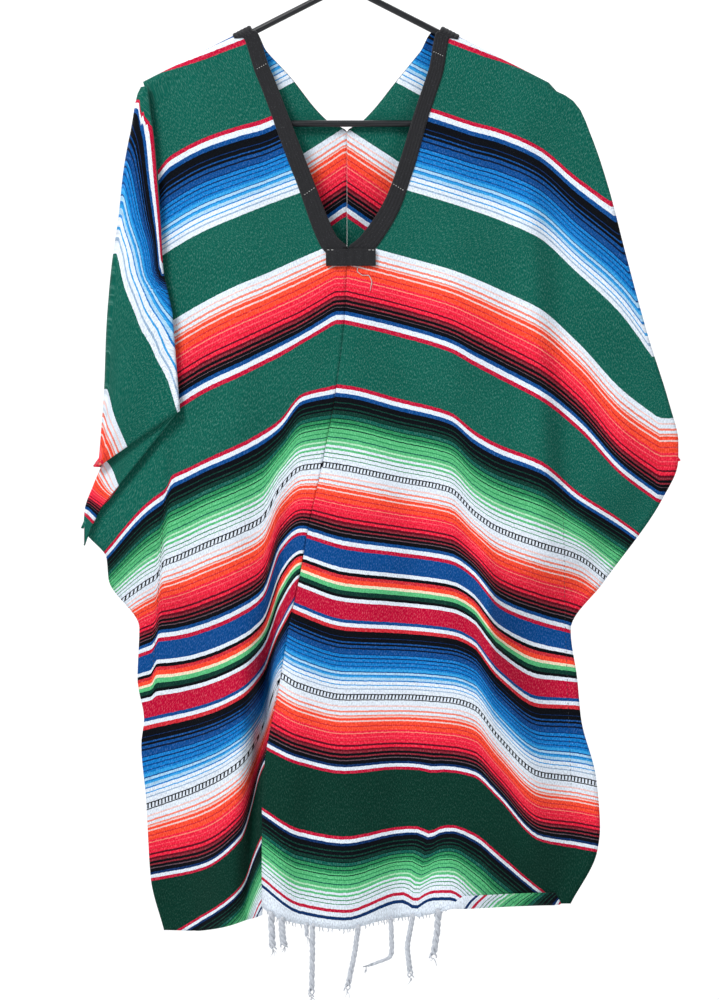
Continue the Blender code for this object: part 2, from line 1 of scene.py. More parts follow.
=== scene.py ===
"""Looks of the striped serape poncho on its hanger.

Lengths are in millimetres and become metres when a mesh is made, in the part's own frame:
the origin is the inner top of the hook, +X is the viewer's right, +Z is up, and the front
of the garment faces -Y. Each side length is one continuous cloth from the front hem over
the shoulder to the back hem, with the layers behind its sleeve fold. Every point of it
carries its place in the flat cloth, and the woven stripes follow that place.
"""
import bisect
import math
import random

import bmesh
import bpy
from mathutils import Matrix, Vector, noise


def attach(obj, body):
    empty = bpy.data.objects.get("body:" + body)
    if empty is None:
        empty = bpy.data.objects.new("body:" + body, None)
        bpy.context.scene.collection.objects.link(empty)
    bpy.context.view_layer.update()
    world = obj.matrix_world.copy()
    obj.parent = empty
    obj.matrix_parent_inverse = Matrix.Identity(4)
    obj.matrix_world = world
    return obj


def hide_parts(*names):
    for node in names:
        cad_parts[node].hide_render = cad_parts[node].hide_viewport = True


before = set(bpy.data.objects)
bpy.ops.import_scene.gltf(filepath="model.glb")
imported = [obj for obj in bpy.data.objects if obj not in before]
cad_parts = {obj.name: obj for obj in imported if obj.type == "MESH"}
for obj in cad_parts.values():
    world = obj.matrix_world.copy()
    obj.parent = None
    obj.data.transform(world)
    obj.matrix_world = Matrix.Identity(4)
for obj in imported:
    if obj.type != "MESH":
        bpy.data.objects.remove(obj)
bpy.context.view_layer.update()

MM = 0.001

CLOTH = 1.7
TAPE = 1.3
GAP = 0.3
SEAM = 0.1
CAD_CLOTH = 2.0
CAD_TAPE = 1.4

TUBE_R = 3.5
ARM_TOP = -92.0
ARM_SLOPE = 0.51
ARM_REACH = 203.0
BAR_DROP = -238.0
HOOK_INNER_R = 22.0
HOOK_START = 195.0
HOOK_END = -40.0
HOOK_FOOT = -75.0
APEX_R = 14.0
WRAP_R = (TUBE_R + GAP + CAD_CLOTH / 2) / math.cos(math.radians(22.5)) + 0.1

TAPE_WIDTH = 21.0
TAPE_RIBS = 5
TAPE_RIB_HEIGHT = 0.55
TAPE_CLEARANCE = 0.15
BLOCK_TOP = -371.5
BLOCK_HEIGHT = 18.0
BLOCK_WIDTH = 52.0
BLOCK_MIDDLE = 6.0

CLOTH_WIDTH = 430.0
HALF_LENGTH = 918.0
WEFT_STRETCH = 1.1

# The photograph's scale: millimetres to a pixel, the column that lies over the hook, and
# the rows from the hook's inner top down to the picture's first row.
PIXEL = 1.05
MIDDLE_COLUMN = 345
ROWS_ABOVE = 105
PICTURE = (719, 1000)

# Rows of each quarter, from the shoulder to the hem: the height of the row's inner end, on
# the neck edge or the seam, and of its outer end, on the sleeve fold or the side.
ROWS = {
    "front_right": (("shoulder", -139, -198), ("chest", -224, -300), ("yoke", -290, -450),
                    ("neck_point", -371, -555), ("sleeve_corner", -412, -594),
                    ("breast", -443, -632), ("rib", -521, -684), ("waist", -598, -728),
                    ("side_top", -667, -772), ("hip", -746, -862), ("thigh", -823, -935),
                    ("knee", -905, -1001), ("hem_band", -980, -1040), ("hem", -1061, -1061)),
    "front_left": (("shoulder", -137, -203), ("chest", -224, -310), ("yoke", -290, -430),
                   ("neck_point", -371, -540), ("flap_foot", -400, -592),
                   ("sleeve_corner", -443, -665), ("rib", -521, -700), ("waist", -598, -735),
                   ("side_top", -667, -770), ("hip", -746, -866), ("thigh", -823, -940),
                   ("knee", -905, -1010), ("hem_band", -980, -1060), ("hem", -1066, -1089)),
    "back_right": (("shoulder", -139, -198), ("neck", -185, -290), ("neck_point", -247, -420),
                   ("yoke", -300, -520), ("sleeve_corner", -345, -585),
                   ("rib", -440, -650), ("waist", -520, -710), ("side_top", -600, -772),
                   ("hip", -700, -850), ("thigh", -800, -925), ("hem_band", -900, -1005),
                   ("hem", -973, -1055)),
    "back_left": (("shoulder", -137, -203), ("neck", -185, -290), ("neck_point", -247, -410),
                  ("yoke", -300, -510), ("sleeve_corner", -345, -600),
                  ("rib", -440, -655), ("waist", -520, -710), ("side_top", -600, -770),
                  ("hip", -700, -850), ("thigh", -800, -930), ("hem_band", -900, -1020),
                  ("hem", -973, -1080)),
}
ROW_STEPS = 10
LEAST_ROW_STEP = 0.04
NECK_POINT = {"front_right": -371, "front_left": -371, "back_right": -247, "back_left": -247}

# Inner edges: height, distance from the middle. Above the neck point this is the neck's
# edge, and below it the centre seam, which wanders to the viewer's left on the front.
FRONT_SEAM = ((-371, 3), (-385, 2), (-436, 0), (-522, -10), (-598, -24), (-667, -39),
              (-718, -48), (-769, -59), (-823, -68), (-908, -84), (-950, -87), (-1070, -87))
INNER = {
    "front_right": ((-139, 99), (-173, 91), (-210, 79), (-238, 70), (-278, 58),
                    (-320, 42), (-360, 15)) + FRONT_SEAM,
    "front_left": ((-137, -97), (-157, -91), (-184, -78), (-236, -58), (-306, -31),
                   (-340, -18), (-360, -8)) + FRONT_SEAM,
    "back_right": ((-139, 99), (-152, 88), (-190, 57), (-234, 20), (-247, 2), (-1010, 2)),
    "back_left": ((-137, -97), (-152, -90), (-190, -57), (-234, -20), (-247, 2), (-1010, 2)),
}

# Outer edges: height, distance from the middle, for the fold of each sleeve, then the
# open selvage below it, then the side where front and back are stitched together.
OUTER = {
    "front_right": ((-198, 212), (-207, 228), (-226, 246), (-252, 259), (-310, 278),
                    (-373, 294), (-462, 318), (-536, 341), (-575, 350), (-594, 350),
                    (-635, 333), (-722, 272), (-772, 238), (-824, 245), (-866, 249),
                    (-929, 265), (-982, 269), (-1006, 266), (-1061, 238)),
    "front_left": ((-203, -210), (-240, -217), (-289, -222), (-394, -235), (-515, -241),
                   (-575, -247), (-620, -264), (-646, -273), (-665, -274), (-696, -251),
                   (-719, -249), (-770, -217), (-824, -219), (-866, -212), (-893, -215),
                   (-950, -210), (-1034, -205), (-1089, -191)),
    "back_right": ((-198, 212), (-226, 238), (-300, 266), (-373, 284), (-462, 306),
                   (-536, 328), (-585, 336), (-635, 318), (-722, 264), (-772, 238),
                   (-824, 245), (-866, 249), (-929, 263), (-1003, 262), (-1055, 236)),
    "back_left": ((-203, -210), (-226, -220), (-289, -233), (-336, -238), (-394, -246),
                  (-457, -251), (-515, -253), (-572, -257), (-600, -259), (-650, -243),
                  (-719, -226), (-770, -217), (-824, -219), (-866, -212), (-950, -210),
                  (-1034, -203), (-1080, -192)),
}
SIDE_TOP = {"front_right": -772, "front_left": -770, "back_right": -772, "back_left": -770}
CORNER = {"front_right": -594, "front_left": -665, "back_right": -585, "back_left": -600}
STITCH_MARGIN = 16.0

# The hem's dip below the straight line between its two ends: distance from the middle,
# extra drop.
HEM = {
    "front_right": ((-87, 0), (-73, 10), (-47, 18), (0, 23), (37, 15), (89, 8), (115, 0),
                    (238, 0)),
    "front_left": ((-191, 0), (-152, 8), (-135, 8.5), (-110, 7), (-87, 3)),
    "back_right": ((2, 0), (70, 7), (140, -4), (200, 6), (262, 0)),
    "back_left": ((-207, 0), (-150, 8), (-90, -3), (-40, 5), (2, 0)),
}

# Depth of the cloth from the hanger's plane along the seam: height, depth.
SEAM_DEPTH = {
    "front_right": ((-139, 5), (-238, 9), (-371, 20), (-600, 34), (-800, 40), (-1070, 48)),
    "front_left": ((-137, 5), (-238, 9), (-371, 20), (-600, 34), (-800, 38), (-1070, 44)),
    "back_right": ((-139, 5), (-247, 8), (-450, 22), (-700, 32), (-1010, 40)),
    "back_left": ((-137, 5), (-247, 8), (-450, 22), (-700, 32), (-1010, 40)),
}
# Depth of the sleeve's fold, and of the selvage below it.
EDGE_DEPTH = {
    "front_right": ((-198, 5.0), (-260, 11), (-400, 19), (-594, 26), (-700, 15),
                    (-772, 1.25)),
    "front_left": ((-203, 5.0), (-260, 8), (-400, 12), (-594, 18), (-665, 20), (-720, 11),
                   (-770, 1.25)),
    "back_right": ((-198, 5.0), (-260, 11), (-400, 18), (-585, 24), (-700, 14),
                   (-772, 1.25)),
    "back_left": ((-203, 5.0), (-260, 9), (-400, 14), (-600, 19), (-700, 12), (-770, 1.25)),
}

# Soft folds: the height and the place where each starts and ends, its half width, and how
# far it stands out at its start and at its end (less than 0 is a trough).
FOLDS = {
    "front_right": (
        ("seam_ridge", -560, -26, -1061, -70, 16, 0, 8),
        ("waist_tuck", -650, 139, -770, 151, 8, 0, 17),
        ("waist_drop", -770, 151, -930, 200, 15, 17, 5),
        ("shoulder_fold", -240, 190, -600, 206, 16, 6, 12),
        ("shoulder_trough", -260, 225, -620, 236, 18, -3, -8),
        ("sleeve_ridge", -400, 270, -600, 296, 14, 0, 6),
        ("breast_trough", -420, 60, -760, 70, 30, -3, -8),
        ("breast_ridge", -420, 112, -700, 108, 22, 2, 5),
        ("hem_wave_in", -820, 0, -1085, 0, 26, 0, 10),
        ("hem_trough", -820, 58, -1085, 60, 20, 0, -11),
        ("hem_wave_out", -860, 105, -1070, 112, 22, 0, 9),
        ("side_trough", -840, 170, -1065, 176, 24, 0, -10),
    ),
    "front_left": (
        ("deep_valley", -575, -50, -845, -84, 11, 0, -28),
        ("deep_valley_foot", -845, -88, -1075, -104, 11, -28, -20),
        ("breast_ridge", -330, -105, -700, -122, 26, 3, 10),
        ("side_valley", -596, -180, -812, -200, 8, -5, -8),
        ("side_trough", -480, -165, -900, -165, 20, -2, -8),
        ("hem_wave", -780, -140, -1090, -142, 24, 0, 10),
    ),
    "back_right": (
        ("yoke_fold", -260, 100, -650, 110, 30, 2, 7),
        ("side_trough", -420, 190, -900, 180, 26, -3, -9),
        ("hem_wave_in", -560, 45, -1000, 52, 24, 0, 12),
        ("hem_trough", -600, 95, -1000, 100, 22, 0, -10),
        ("hem_wave_out", -620, 145, -1000, 150, 24, 0, 10),
    ),
    "back_left": (
        ("yoke_fold", -270, -95, -640, -100, 28, 2, 6),
        ("hem_wave_in", -560, -40, -1000, -46, 24, 0, 11),
        ("hem_trough", -600, -88, -1000, -92, 20, 0, -9),
        ("hem_wave_out", -640, -132, -1000, -136, 24, 0, 9),
        ("side_trough", -500, -170, -900, -172, 20, -3, -7),
    ),
}

# Where the layer behind each sleeve fold ends: the crease that runs down from the
# hanger's tip, as (x, depth to the front, height), from the tip to the selvage.
CREASE = {
    "right": ((208, 0, -250), (172, 0, -370), (105, 0, -545)),
    "left": ((-203, 18.2, -252), (-198, 21.2, -303), (-193, 29.2, -395), (-183, 32.7, -440),
             (-175, 36.7, -543)),
}
CREASE_HALF = 1.7
LAYER_SHARE = 0.32
UNDERLAP = 7.0
FOLD_HALF = {"front_right": 2.5, "back_right": 2.5, "front_left": 3.0, "back_left": 6.0}
FLAP_BULGE = 16.0
FLAP_DEPTH = ((-203, 15.5), (-240, 18.5), (-300, 22.0), (-400, 27.0), (-600, 34.0))

SIDE = {"front_right": 1, "back_right": 1, "front_left": -1, "back_left": -1}
FACE = {"front_right": -1, "front_left": -1, "back_right": 1, "back_left": 1}

SLEEVE_TOP_ROW = 0.12
PANEL_COLUMNS = 60
LAYER_COLUMNS = 40
TURN_STEPS = 10
WRAP_ANGLES = (0, 22.5, 45, 67.5)

# Stripes that can be followed across the cloth, by their distance along it from its
# middle, and the picture's row where each crosses a column, read from the photograph.
LINES = (42.5, 128, 200, 280, 361.5, 440, 515.5, 600.5, 675, 752, 827, 898, 918)
LINE_COLUMNS = {
    "front_right": (262, 300, 345, 397, 450, 474, 497, 540, 578, 621, 659),
    "front_left": (335, 302, 280, 262, 240, 200, 150, 107, 84),
}
LINE_ROWS = {
    "front_right": (
        (70, 78, 86, 103, 120, 128, 134, 153, 185, 217, 245),
        (150, 158, 170, 186, 202, 210, 218, 238, 272, 313, 366),
        (215, 228, 240, 254, 269, 278, 288, 309, 342, 389, 418),
        (300, 308, 317, 329, 345, 358, 370, 393, 422, 469, 497),
        (385, 388, 391, 404, 418, 437, 450, 467, 497, 524, 552),
        (455, 461, 468, 479, 490, 513, 529, 545, 557, 590, 612),
        (522, 530, 543, 550, 558, 573, 601, 619, 630, 650, 670),
        (590, 611, 626, 629, 634, 644, 674, 704, 706, 716, 726),
        (662, 687, 698, 698, 701, 708, 737, 776, 782, 792, 800),
        (744, 761, 770, 766, 769, 774, 795, 839, 847, 855, 860),
        (812, 834, 841, 832, 829, 838, 857, 894, 922, 935, 940),
        (882, 909, 915, 899, 895, 916, 940, 972, 990, 1000, 1005),
        (902, 928, 934, 921, 915, 935, 959, 991, 1009, 1019, 1024),
    ),
    "front_left": (
        (92, 107, 118, 126, 132, 146, 176, 210, 228),
        (178, 191, 199, 206, 215, 232, 263, 300, 320),
        (243, 257, 267, 275, 284, 304, 336, 380, 405),
        (317, 337, 349, 358, 369, 388, 424, 475, 505),
        (391, 399, 425, 438, 450, 469, 505, 553, 580),
        (465, 468, 488, 519, 531, 549, 578, 612, 630),
        (545, 530, 547, 594, 610, 628, 645, 668, 680),
        (630, 598, 630, 671, 695, 713, 725, 735, 740),
        (700, 672, 682, 730, 764, 789, 808, 822, 828),
        (775, 742, 742, 770, 838, 869, 880, 888, 892),
        (845, 812, 815, 842, 890, 922, 950, 962, 968),
        (915, 880, 882, 905, 955, 992, 1022, 1034, 1040),
        (932, 898, 900, 923, 973, 1010, 1040, 1052, 1058),
    ),
}
# The same for the back, which the photograph hides: heights at distances from the middle.
# They match the front's stripes at the stitched sides.
BACK_LINES = (128, 200, 280, 344, 440, 515.5, 600.5, 675, 752, 827, 898, 918)
BACK_PLACES = {
    "back_right": (0, 90, 160, 238, 340),
    "back_left": (0, -90, -160, -217, -262),
}
BACK_HEIGHTS = {
    "back_right": (
        (-165, -213, -252, -300, -372), (-241, -300, -350, -400, -475),
        (-327, -390, -445, -500, -558), (-393, -462, -522, -580, -600),
        (-492, -560, -618, -685, -690), (-570, -638, -700, -770, -770),
        (-655, -722, -785, -851, -860), (-730, -797, -862, -928, -940),
        (-807, -868, -930, -998, -1010), (-882, -935, -993, -1057, -1070),
        (-953, -1000, -1055, -1118, -1130), (-973, -1020, -1074, -1136, -1150),
    ),
    "back_left": (
        (-165, -213, -258, -325, -405), (-241, -300, -358, -440, -520),
        (-327, -392, -455, -550, -622), (-393, -462, -525, -625, -667),
        (-492, -560, -625, -712, -735), (-570, -638, -704, -795, -805),
        (-655, -722, -790, -875, -885), (-730, -797, -866, -955, -965),
        (-807, -868, -938, -1025, -1035), (-882, -935, -1004, -1092, -1100),
        (-953, -1000, -1066, -1155, -1165), (-973, -1020, -1085, -1174, -1184),
    ),
}
# The shoulder line's place in the cloth: distance from the middle of the garment, then
# from the cloth's middle, towards the back.
SHOULDER_SHIFT = {"right": ((97, 50), (150, 44), (184, 38), (212, 33)),
                  "left": ((-212, 26), (-200, 34), (-185, 40), (-150, 46), (-97, 51))}
# The same along the crease behind the right sleeve, by its share of the way to the selvage.
CREASE_SHIFT = ((0, 33), (1, 55))
# The layers folded forward at the left sleeve: the picture's row, the columns of the layer's
# left and right edges there, and the cloth's place at even steps from one to the other.
LEFT_LAYERS = {
    "back_left": (
        (84, 137, 141, (-24, -24, -24, -24, -24)),
        (100, 138, 140, (-31, -31, -30, -30, -29)),
        (107, 138.7, 139.5, (-50, -46, -42, -38, -34)),
        (125, 132.5, 149.5, (-58, -53, -48.5, -42.5, -37)),
        (142, 129, 152.5, (-68, -62, -53, -44, -36)),
        (179, 125, 155.5, (-92, -80, -65, -48, -36)),
        (216, 121.6, 158, (-112, -97, -80, -58, -36.5)),
        (252, 117, 160, (-128, -117, -103, -80, -38)),
        (273, 115, 161, (-136, -122, -110, -88, -44)),
        (290, 114, 165, (-144, -127, -116, -102, -80)),
        (304, 113, 169, (-152, -133, -119, -107, -92)),
        (329, 111, 175.8, (-165, -146, -126, -116, -104)),
        (353, 109, 177.8, (-181, -162, -141, -122, -112)),
        (385, 108, 178.5, (-198, -182, -162, -138, -119)),
        (413, 104, 179, (-212, -190, -170, -148, -127)),
        (444, 102, 179, (-229, -206, -184, -160, -140)),
        (461, 99.6, 179, (-240, -216, -194, -172, -152)),
    ),
    "front_left": (
        (90, 138, 165, (-26, -26, -26)),
        (250, 117, 165, (70, 60, 50)),
        (413, 104, 165, (158, 142, 134)),
        (433, 102, 165, (180, 157, 137)),
        (461, 99.6, 165, (206, 177, 142)),
        (488, 91, 165, (238, 191, 154)),
        (507, 88.5, 165, (273, 226, 180)),
        (528, 84.4, 165, (302, 256, 208)),
    ),
}
FOLD_BLEND = 35.0
# Past its right edge the layer shows the green again, down to this row of the picture.
EDGE_FOOT = 262
EDGE_GREEN = 16.0
# The selvage under it bulges down at this share of its way to the crease.
UNDER_BULGE = 18.0
UNDER_BULGE_SHARE = 0.66

# Where the side's stitching shifts the woven lines, by how much on each side of it, and a
# small tuck at the hem, by row: its column, and how far it carries the lines down.
STITCH_SLIP = {"in": 8.0, "out": 4.0}
SLIP_REACH = 20.0
SLIP_ROWS = (455, 720)
SLIP_FADES = (20, 60)
SLIP_SOFTNESS = 2.5
HEM_TUCK = ((745, 432, 0.0), (832, 430, 6.0), (902, 416, 8.0), (960, 414, 8.0))
HEM_TUCK_HALF = 9.0
STRIP_END = 563

# A few white stitches hold the tape down, at these heights. A loose thread hangs below the
# block, by columns and rows of the picture. Side seams show as a row of dark stitches.
TAPE_TACKS = {"left": (-172, -306), "right": (-160, -304)}
TAPE_STEPS = 24
OVERLOCK = {"back_left": [0.42 + 0.028 * k for k in range(12)],
            "front_left": [0.5 + 0.028 * k for k in range(9)]}
LOOSE_THREAD = ((358, 265), (357, 271), (362, 275), (369, 275), (372, 281), (370, 291))
SIDE_STITCHES = {"left": ((168, 484), (163, 524), (152, 668)),
                 "right": ((562, 474), (566, 620), (572, 786))}


def srgb(red, green, blue):
    """A linear colour from its 0 to 255 values."""
    channels = []
    for value in (red, green, blue):
        value = value / 255
        channels.append(value / 12.92 if value <= 0.04045 else ((value + 0.055) / 1.055) ** 2.4)
    return (*channels, 1.0)


COLOURS = {
    "green": srgb(8, 92, 78),
    "forest": srgb(2, 52, 40),
    "dark_green": srgb(4, 54, 44),
    "leaf": srgb(40, 138, 86),
    "light_green": srgb(88, 188, 124),
    "pale_green": srgb(176, 226, 190),
    "crimson": srgb(192, 4, 54),
    "red": srgb(240, 28, 62),
    "rose": srgb(246, 84, 96),
    "brick": srgb(206, 36, 50),
    "maroon": srgb(96, 6, 28),
    "dull_red": srgb(140, 34, 50),
    "orange": srgb(250, 72, 44),
    "salmon": srgb(244, 132, 112),
    "pale_pink": srgb(240, 200, 196),
    "cream": srgb(240, 226, 196),
    "white": srgb(226, 235, 246),
    "grey_blue": srgb(150, 176, 204),
    "blue": srgb(2, 72, 140),
    "azure": srgb(4, 122, 200),
    "sky": srgb(46, 156, 222),
    "pale_blue": srgb(168, 208, 236),
    "deep_blue": srgb(4, 44, 96),
    "navy": srgb(6, 22, 50),
    "black": srgb(6, 9, 16),
    "grey_pink": srgb(96, 74, 84),
}

# The woven stripes from the middle of the cloth outwards, as the threads are laid in:
# each band's length in the cloth, and its stripes with their shares of that length.
BLACK_TO_WHITE_BLUE = (
    ("black", 7), ("deep_blue", 0.9), ("black", 4), ("blue", 1.6), ("black", 2.4), ("blue", 3),
    ("navy", 1.8), ("blue", 5.2), ("deep_blue", 1.2), ("azure", 3), ("deep_blue", 1.4),
    ("azure", 3), ("blue", 1.6), ("azure", 3.2), ("blue", 1.4), ("azure", 2), ("sky", 3),
    ("blue", 1.2), ("pale_blue", 2.4), ("azure", 1.6), ("sky", 2), ("pale_blue", 3),
    ("azure", 1.4), ("white", 3.8), ("sky", 1.2), ("white", 3.4), ("grey_blue", 1.2), ("white", 5),
)
WHITE_TO_BLACK_RED = (
    ("white", 5.4), ("pale_pink", 1.5), ("white", 3.6), ("salmon", 1.8), ("white", 2.8),
    ("salmon", 1.4), ("pale_pink", 1.2), ("orange", 3), ("pale_pink", 1.6), ("orange", 4.2),
    ("brick", 0.9), ("orange", 4), ("red", 2.2), ("salmon", 1), ("red", 3.4), ("rose", 0.9),
    ("red", 3), ("brick", 0.9), ("red", 2.8), ("maroon", 1.8), ("red", 2.8), ("maroon", 2.2),
    ("dull_red", 2), ("black", 2.6), ("dull_red", 1.4), ("black", 2.6), ("grey_pink", 1),
    ("black", 3.6),
)
BLACK_TO_WHITE_GREEN = (
    ("black", 5), ("dark_green", 1.2), ("black", 3.6), ("dark_green", 1.6), ("black", 2),
    ("dark_green", 3), ("black", 0.9), ("green", 3), ("dark_green", 1.2), ("leaf", 2.6),
    ("dark_green", 1.2), ("leaf", 2.8), ("light_green", 1.4), ("dark_green", 1.1),
    ("light_green", 3.2), ("leaf", 1.2), ("light_green", 3.2), ("green", 1.1),
    ("light_green", 3), ("pale_green", 1.8), ("light_green", 2.8), ("white", 2.2),
    ("light_green", 2), ("white", 2.8), ("leaf", 1.2), ("white", 3), ("leaf", 0.9), ("white", 4.6),
)
LADDER_BAND = (("black", 1), ("white", 4.4), ("black", 1))
STRIPES = (
    (34.9, (("green", 1),)),
    (14.9, (("crimson", 3.8), ("white", 5.5), ("blue", 4.5))),
    (78.5, BLACK_TO_WHITE_BLUE),
    (71.5, (("green", 1),)),
    (73.7, WHITE_TO_BLACK_RED),
    (13.8, (("blue", 3.8), ("white", 5), ("crimson", 4))),
    (67.6, (("green", 1),)),
    (13.1, (("crimson", 3.8), ("white", 4.4), ("blue", 3.8))),
    (68.7, BLACK_TO_WHITE_GREEN),
    (6.5, LADDER_BAND),
    (66.5, WHITE_TO_BLACK_RED),
    (12.0, (("blue", 3.4), ("white", 4), ("crimson", 3.6))),
    (19.1, (("blue", 1),)),
    (34.3, (("white", 3.4), ("black", 3.4), ("brick", 3), ("orange", 3.8), ("cream", 2.8),
            ("light_green", 3.8), ("dark_green", 4), ("black", 3), ("white", 3.2))),
    (18.3, (("crimson", 1),)),
    (11.4, (("blue", 3), ("white", 4.2), ("brick", 3.6))),
    (65.4, BLACK_TO_WHITE_BLUE),
    (6.9, LADDER_BAND),
    (68.1, WHITE_TO_BLACK_RED),
    (9.8, (("deep_blue", 3), ("white", 3.6), ("crimson", 3))),
    (65.9, (("forest", 1),)),
    (9.8, (("crimson", 3), ("white", 3.6), ("deep_blue", 3))),
    (60.0, BLACK_TO_WHITE_GREEN),
    (10.9, (("crimson", 3), ("white", 4), ("deep_blue", 3))),
    (20.0, (("white", 1),)),
)
LADDERS = (440.0, 673.6)
LADDER_HALF = 2.3
LADDER_PITCH = 4.0
LADDER_BAR_SHARE = 0.42
RAMP_STOPS = 30

# Strands of the fringe: where each leaves the hem, its thickness, and its runs down.
FRONT_STRANDS = (
    (-77.0, 6.2, ((0.5, 0, -16), (1.0, -1, -20))),
    (-66.0, 6.4, ((0.5, 0, -15), (2.0, 1, -14))),
    (-40.0, 3.8, ((0, 0, -12),)),
    (-34.0, 5.4, ((0, 0, -30), (-1, 1, -44))),
    (14.0, 5.2, ((-4, 0, -28), (-8, -1, -38))),
    (48.0, 4.8, ((1, 0, -24), (0, 0, -16), (-27, -2, -10))),
    (71.0, 5.2, ((-3, 0, -16), (-3, 0, -16), (4, 0, -32))),
    (98.0, 6.2, ((-2, 0, -24), (-4, 1, -24))),
)
BACK_STRANDS = (
    (-148.0, 4.0, ((0, 0, -5), (0, 0, -5))),
    (-119.0, 4.4, ((0, 0, -8), (1, 0, -8))),
    (-84.0, 4.0, ((1, 0, -18), (2, 1, -16))),
    (-52.0, 4.4, ((-2, 0, -26), (1, 1, -36))),
    (-17.0, 4.2, ((0, 0, -22), (-3, 0, -20))),
    (20.0, 4.4, ((1, 0, -30), (3, 1, -34))),
    (55.0, 4.0, ((-1, 0, -18), (-1, 0, -18))),
    (90.0, 4.4, ((2, 0, -26), (-1, 1, -30))),
    (128.0, 4.2, ((0, 0, -14), (2, 0, -14))),
    (165.0, 4.4, ((-1, 0, -8), (-1, 1, -8))),
)


def picture_x(column):
    return (column - MIDDLE_COLUMN) * PIXEL


def picture_z(row):
    return -(row + ROWS_ABOVE) * PIXEL


def smooth_curve(pairs):
    """A smooth curve through (x, value) pairs that never overshoots them, as a function."""
    pairs = sorted(pairs)
    xs = [pair[0] for pair in pairs]
    ys = [pair[1] for pair in pairs]
    steps = [(ys[k + 1] - ys[k]) / (xs[k + 1] - xs[k]) for k in range(len(xs) - 1)]
    inner = [0.0 if a * b <= 0 else 2 * a * b / (a + b) for a, b in zip(steps, steps[1:])]
    tangents = [steps[0]] + inner + [steps[-1]]

    def value(x):
        if x <= xs[0]:
            return ys[0]
        if x >= xs[-1]:
            return ys[-1]
        k = bisect.bisect_right(xs, x) - 1
        width = xs[k + 1] - xs[k]
        t = (x - xs[k]) / width
        return ((2 * t ** 3 - 3 * t ** 2 + 1) * ys[k]
                + (t ** 3 - 2 * t ** 2 + t) * width * tangents[k]
                + (3 * t ** 2 - 2 * t ** 3) * ys[k + 1]
                + (t ** 3 - t ** 2) * width * tangents[k + 1])

    return value


def curves(tables):
    return {name: smooth_curve(table) for name, table in tables.items()}


inner_edge = curves(INNER)
outer_edge = curves(OUTER)
hem_dip = curves(HEM)
seam_depth = curves(SEAM_DEPTH)
edge_depth = curves(EDGE_DEPTH)
shoulder_shift = curves(SHOULDER_SHIFT)
crease_shift = smooth_curve(CREASE_SHIFT)
flap_depth = smooth_curve(FLAP_DEPTH)
front_seam = smooth_curve(FRONT_SEAM)


def stripe_curves():
    """For each quarter, the height of each line that can be followed, as functions of x."""
    made = {}
    for name, columns in LINE_COLUMNS.items():
        made[name] = [smooth_curve([(picture_x(column), picture_z(row))
                                    for column, row in zip(columns, rows)])
                      for rows in LINE_ROWS[name]]
    for name, places in BACK_PLACES.items():
        made[name] = [smooth_curve(list(zip(places, heights)))
                      for heights in BACK_HEIGHTS[name]]
    return made


line_height = stripe_curves()


def layer_curves():
    """For each layer folded forward, its two edges and its places in the cloth, by height."""
    made = {}
    for name, rows in LEFT_LAYERS.items():
        left = smooth_curve([(picture_z(row), picture_x(start)) for row, start, _, _ in rows])
        right = smooth_curve([(picture_z(row), picture_x(end)) for row, _, end, _ in rows])
        places = [smooth_curve([(picture_z(row[0]), row[3][k]) for row in rows])
                  for k in range(len(rows[0][3]))]
        made[name] = (left, right, places)
    return made


layer_map = layer_curves()
side_stitching = smooth_curve([(picture_z(row), picture_x(column))
                               for column, row in SIDE_STITCHES["left"]])
tuck_place = smooth_curve([(picture_z(row), picture_x(column)) for row, column, _ in HEM_TUCK])
tuck_drop = smooth_curve([(picture_z(row), drop) for row, _, drop in HEM_TUCK])


def smooth_step(t):
    t = min(max(t, 0.0), 1.0)
    return t * t * (3 - 2 * t)


def side_of(name):
    return name.split("_")[1]


def arm_height(x):
    return ARM_TOP - ARM_SLOPE * abs(x)


def fold_offset(name, x, z):
    """Sum of the soft folds' depth at a place on a panel."""
    total = 0.0
    for _, z0, x0, z1, x1, width, start, end in FOLDS[name]:
        t = (z0 - z) / (z0 - z1)
        beyond = max(-t, t - 1, 0.0) * (z0 - z1)
        along = min(max(t, 0.0), 1.0)
        centre = x0 + (x1 - x0) * along
        height = start + (end - start) * smooth_step(along)
        total += height * math.exp(-(beyond / 60) ** 2 - ((x - centre) / width) ** 2)
    return total


def unevenness(name, x, z):
    """Small swells of the cloth between its folds, other ones on each quarter."""
    seed = 10.0 * sorted(ROWS).index(name)
    large = noise.noise(Vector((x / 75, z / 130, seed)))
    small = noise.noise(Vector((x / 26, z / 48, seed + 5)))
    return 2.2 * large + 0.7 * small


def panel_depth(name, x, z):
    """How far the panel's middle surface stands off the hanger's plane."""
    edge = edge_depth[name](z)
    full = seam_depth[name](z)
    reach = abs(outer_edge[name](z) - x)
    closing = smooth_step((CORNER[name] - z) / (CORNER[name] - SIDE_TOP[name]))
    margin = STITCH_MARGIN * closing
    open_share = smooth_step((reach - margin) / 95)
    swell = fold_offset(name, x, z) + unevenness(name, x, z)
    depth = edge + (full - edge + swell) * open_share
    hung = smooth_step((arm_height(x) - z) / 120)
    return WRAP_R + (depth - WRAP_R) * hung


def row_ends(name, row):
    """Heights of a row's inner and outer ends, for a row number that may be a fraction."""
    table = ROWS[name]
    k = min(int(row), len(table) - 2)
    t = row - k
    _, inner0, outer0 = table[k]
    _, inner1, outer1 = table[k + 1]
    return inner0 + (inner1 - inner0) * t, outer0 + (outer1 - outer0) * t


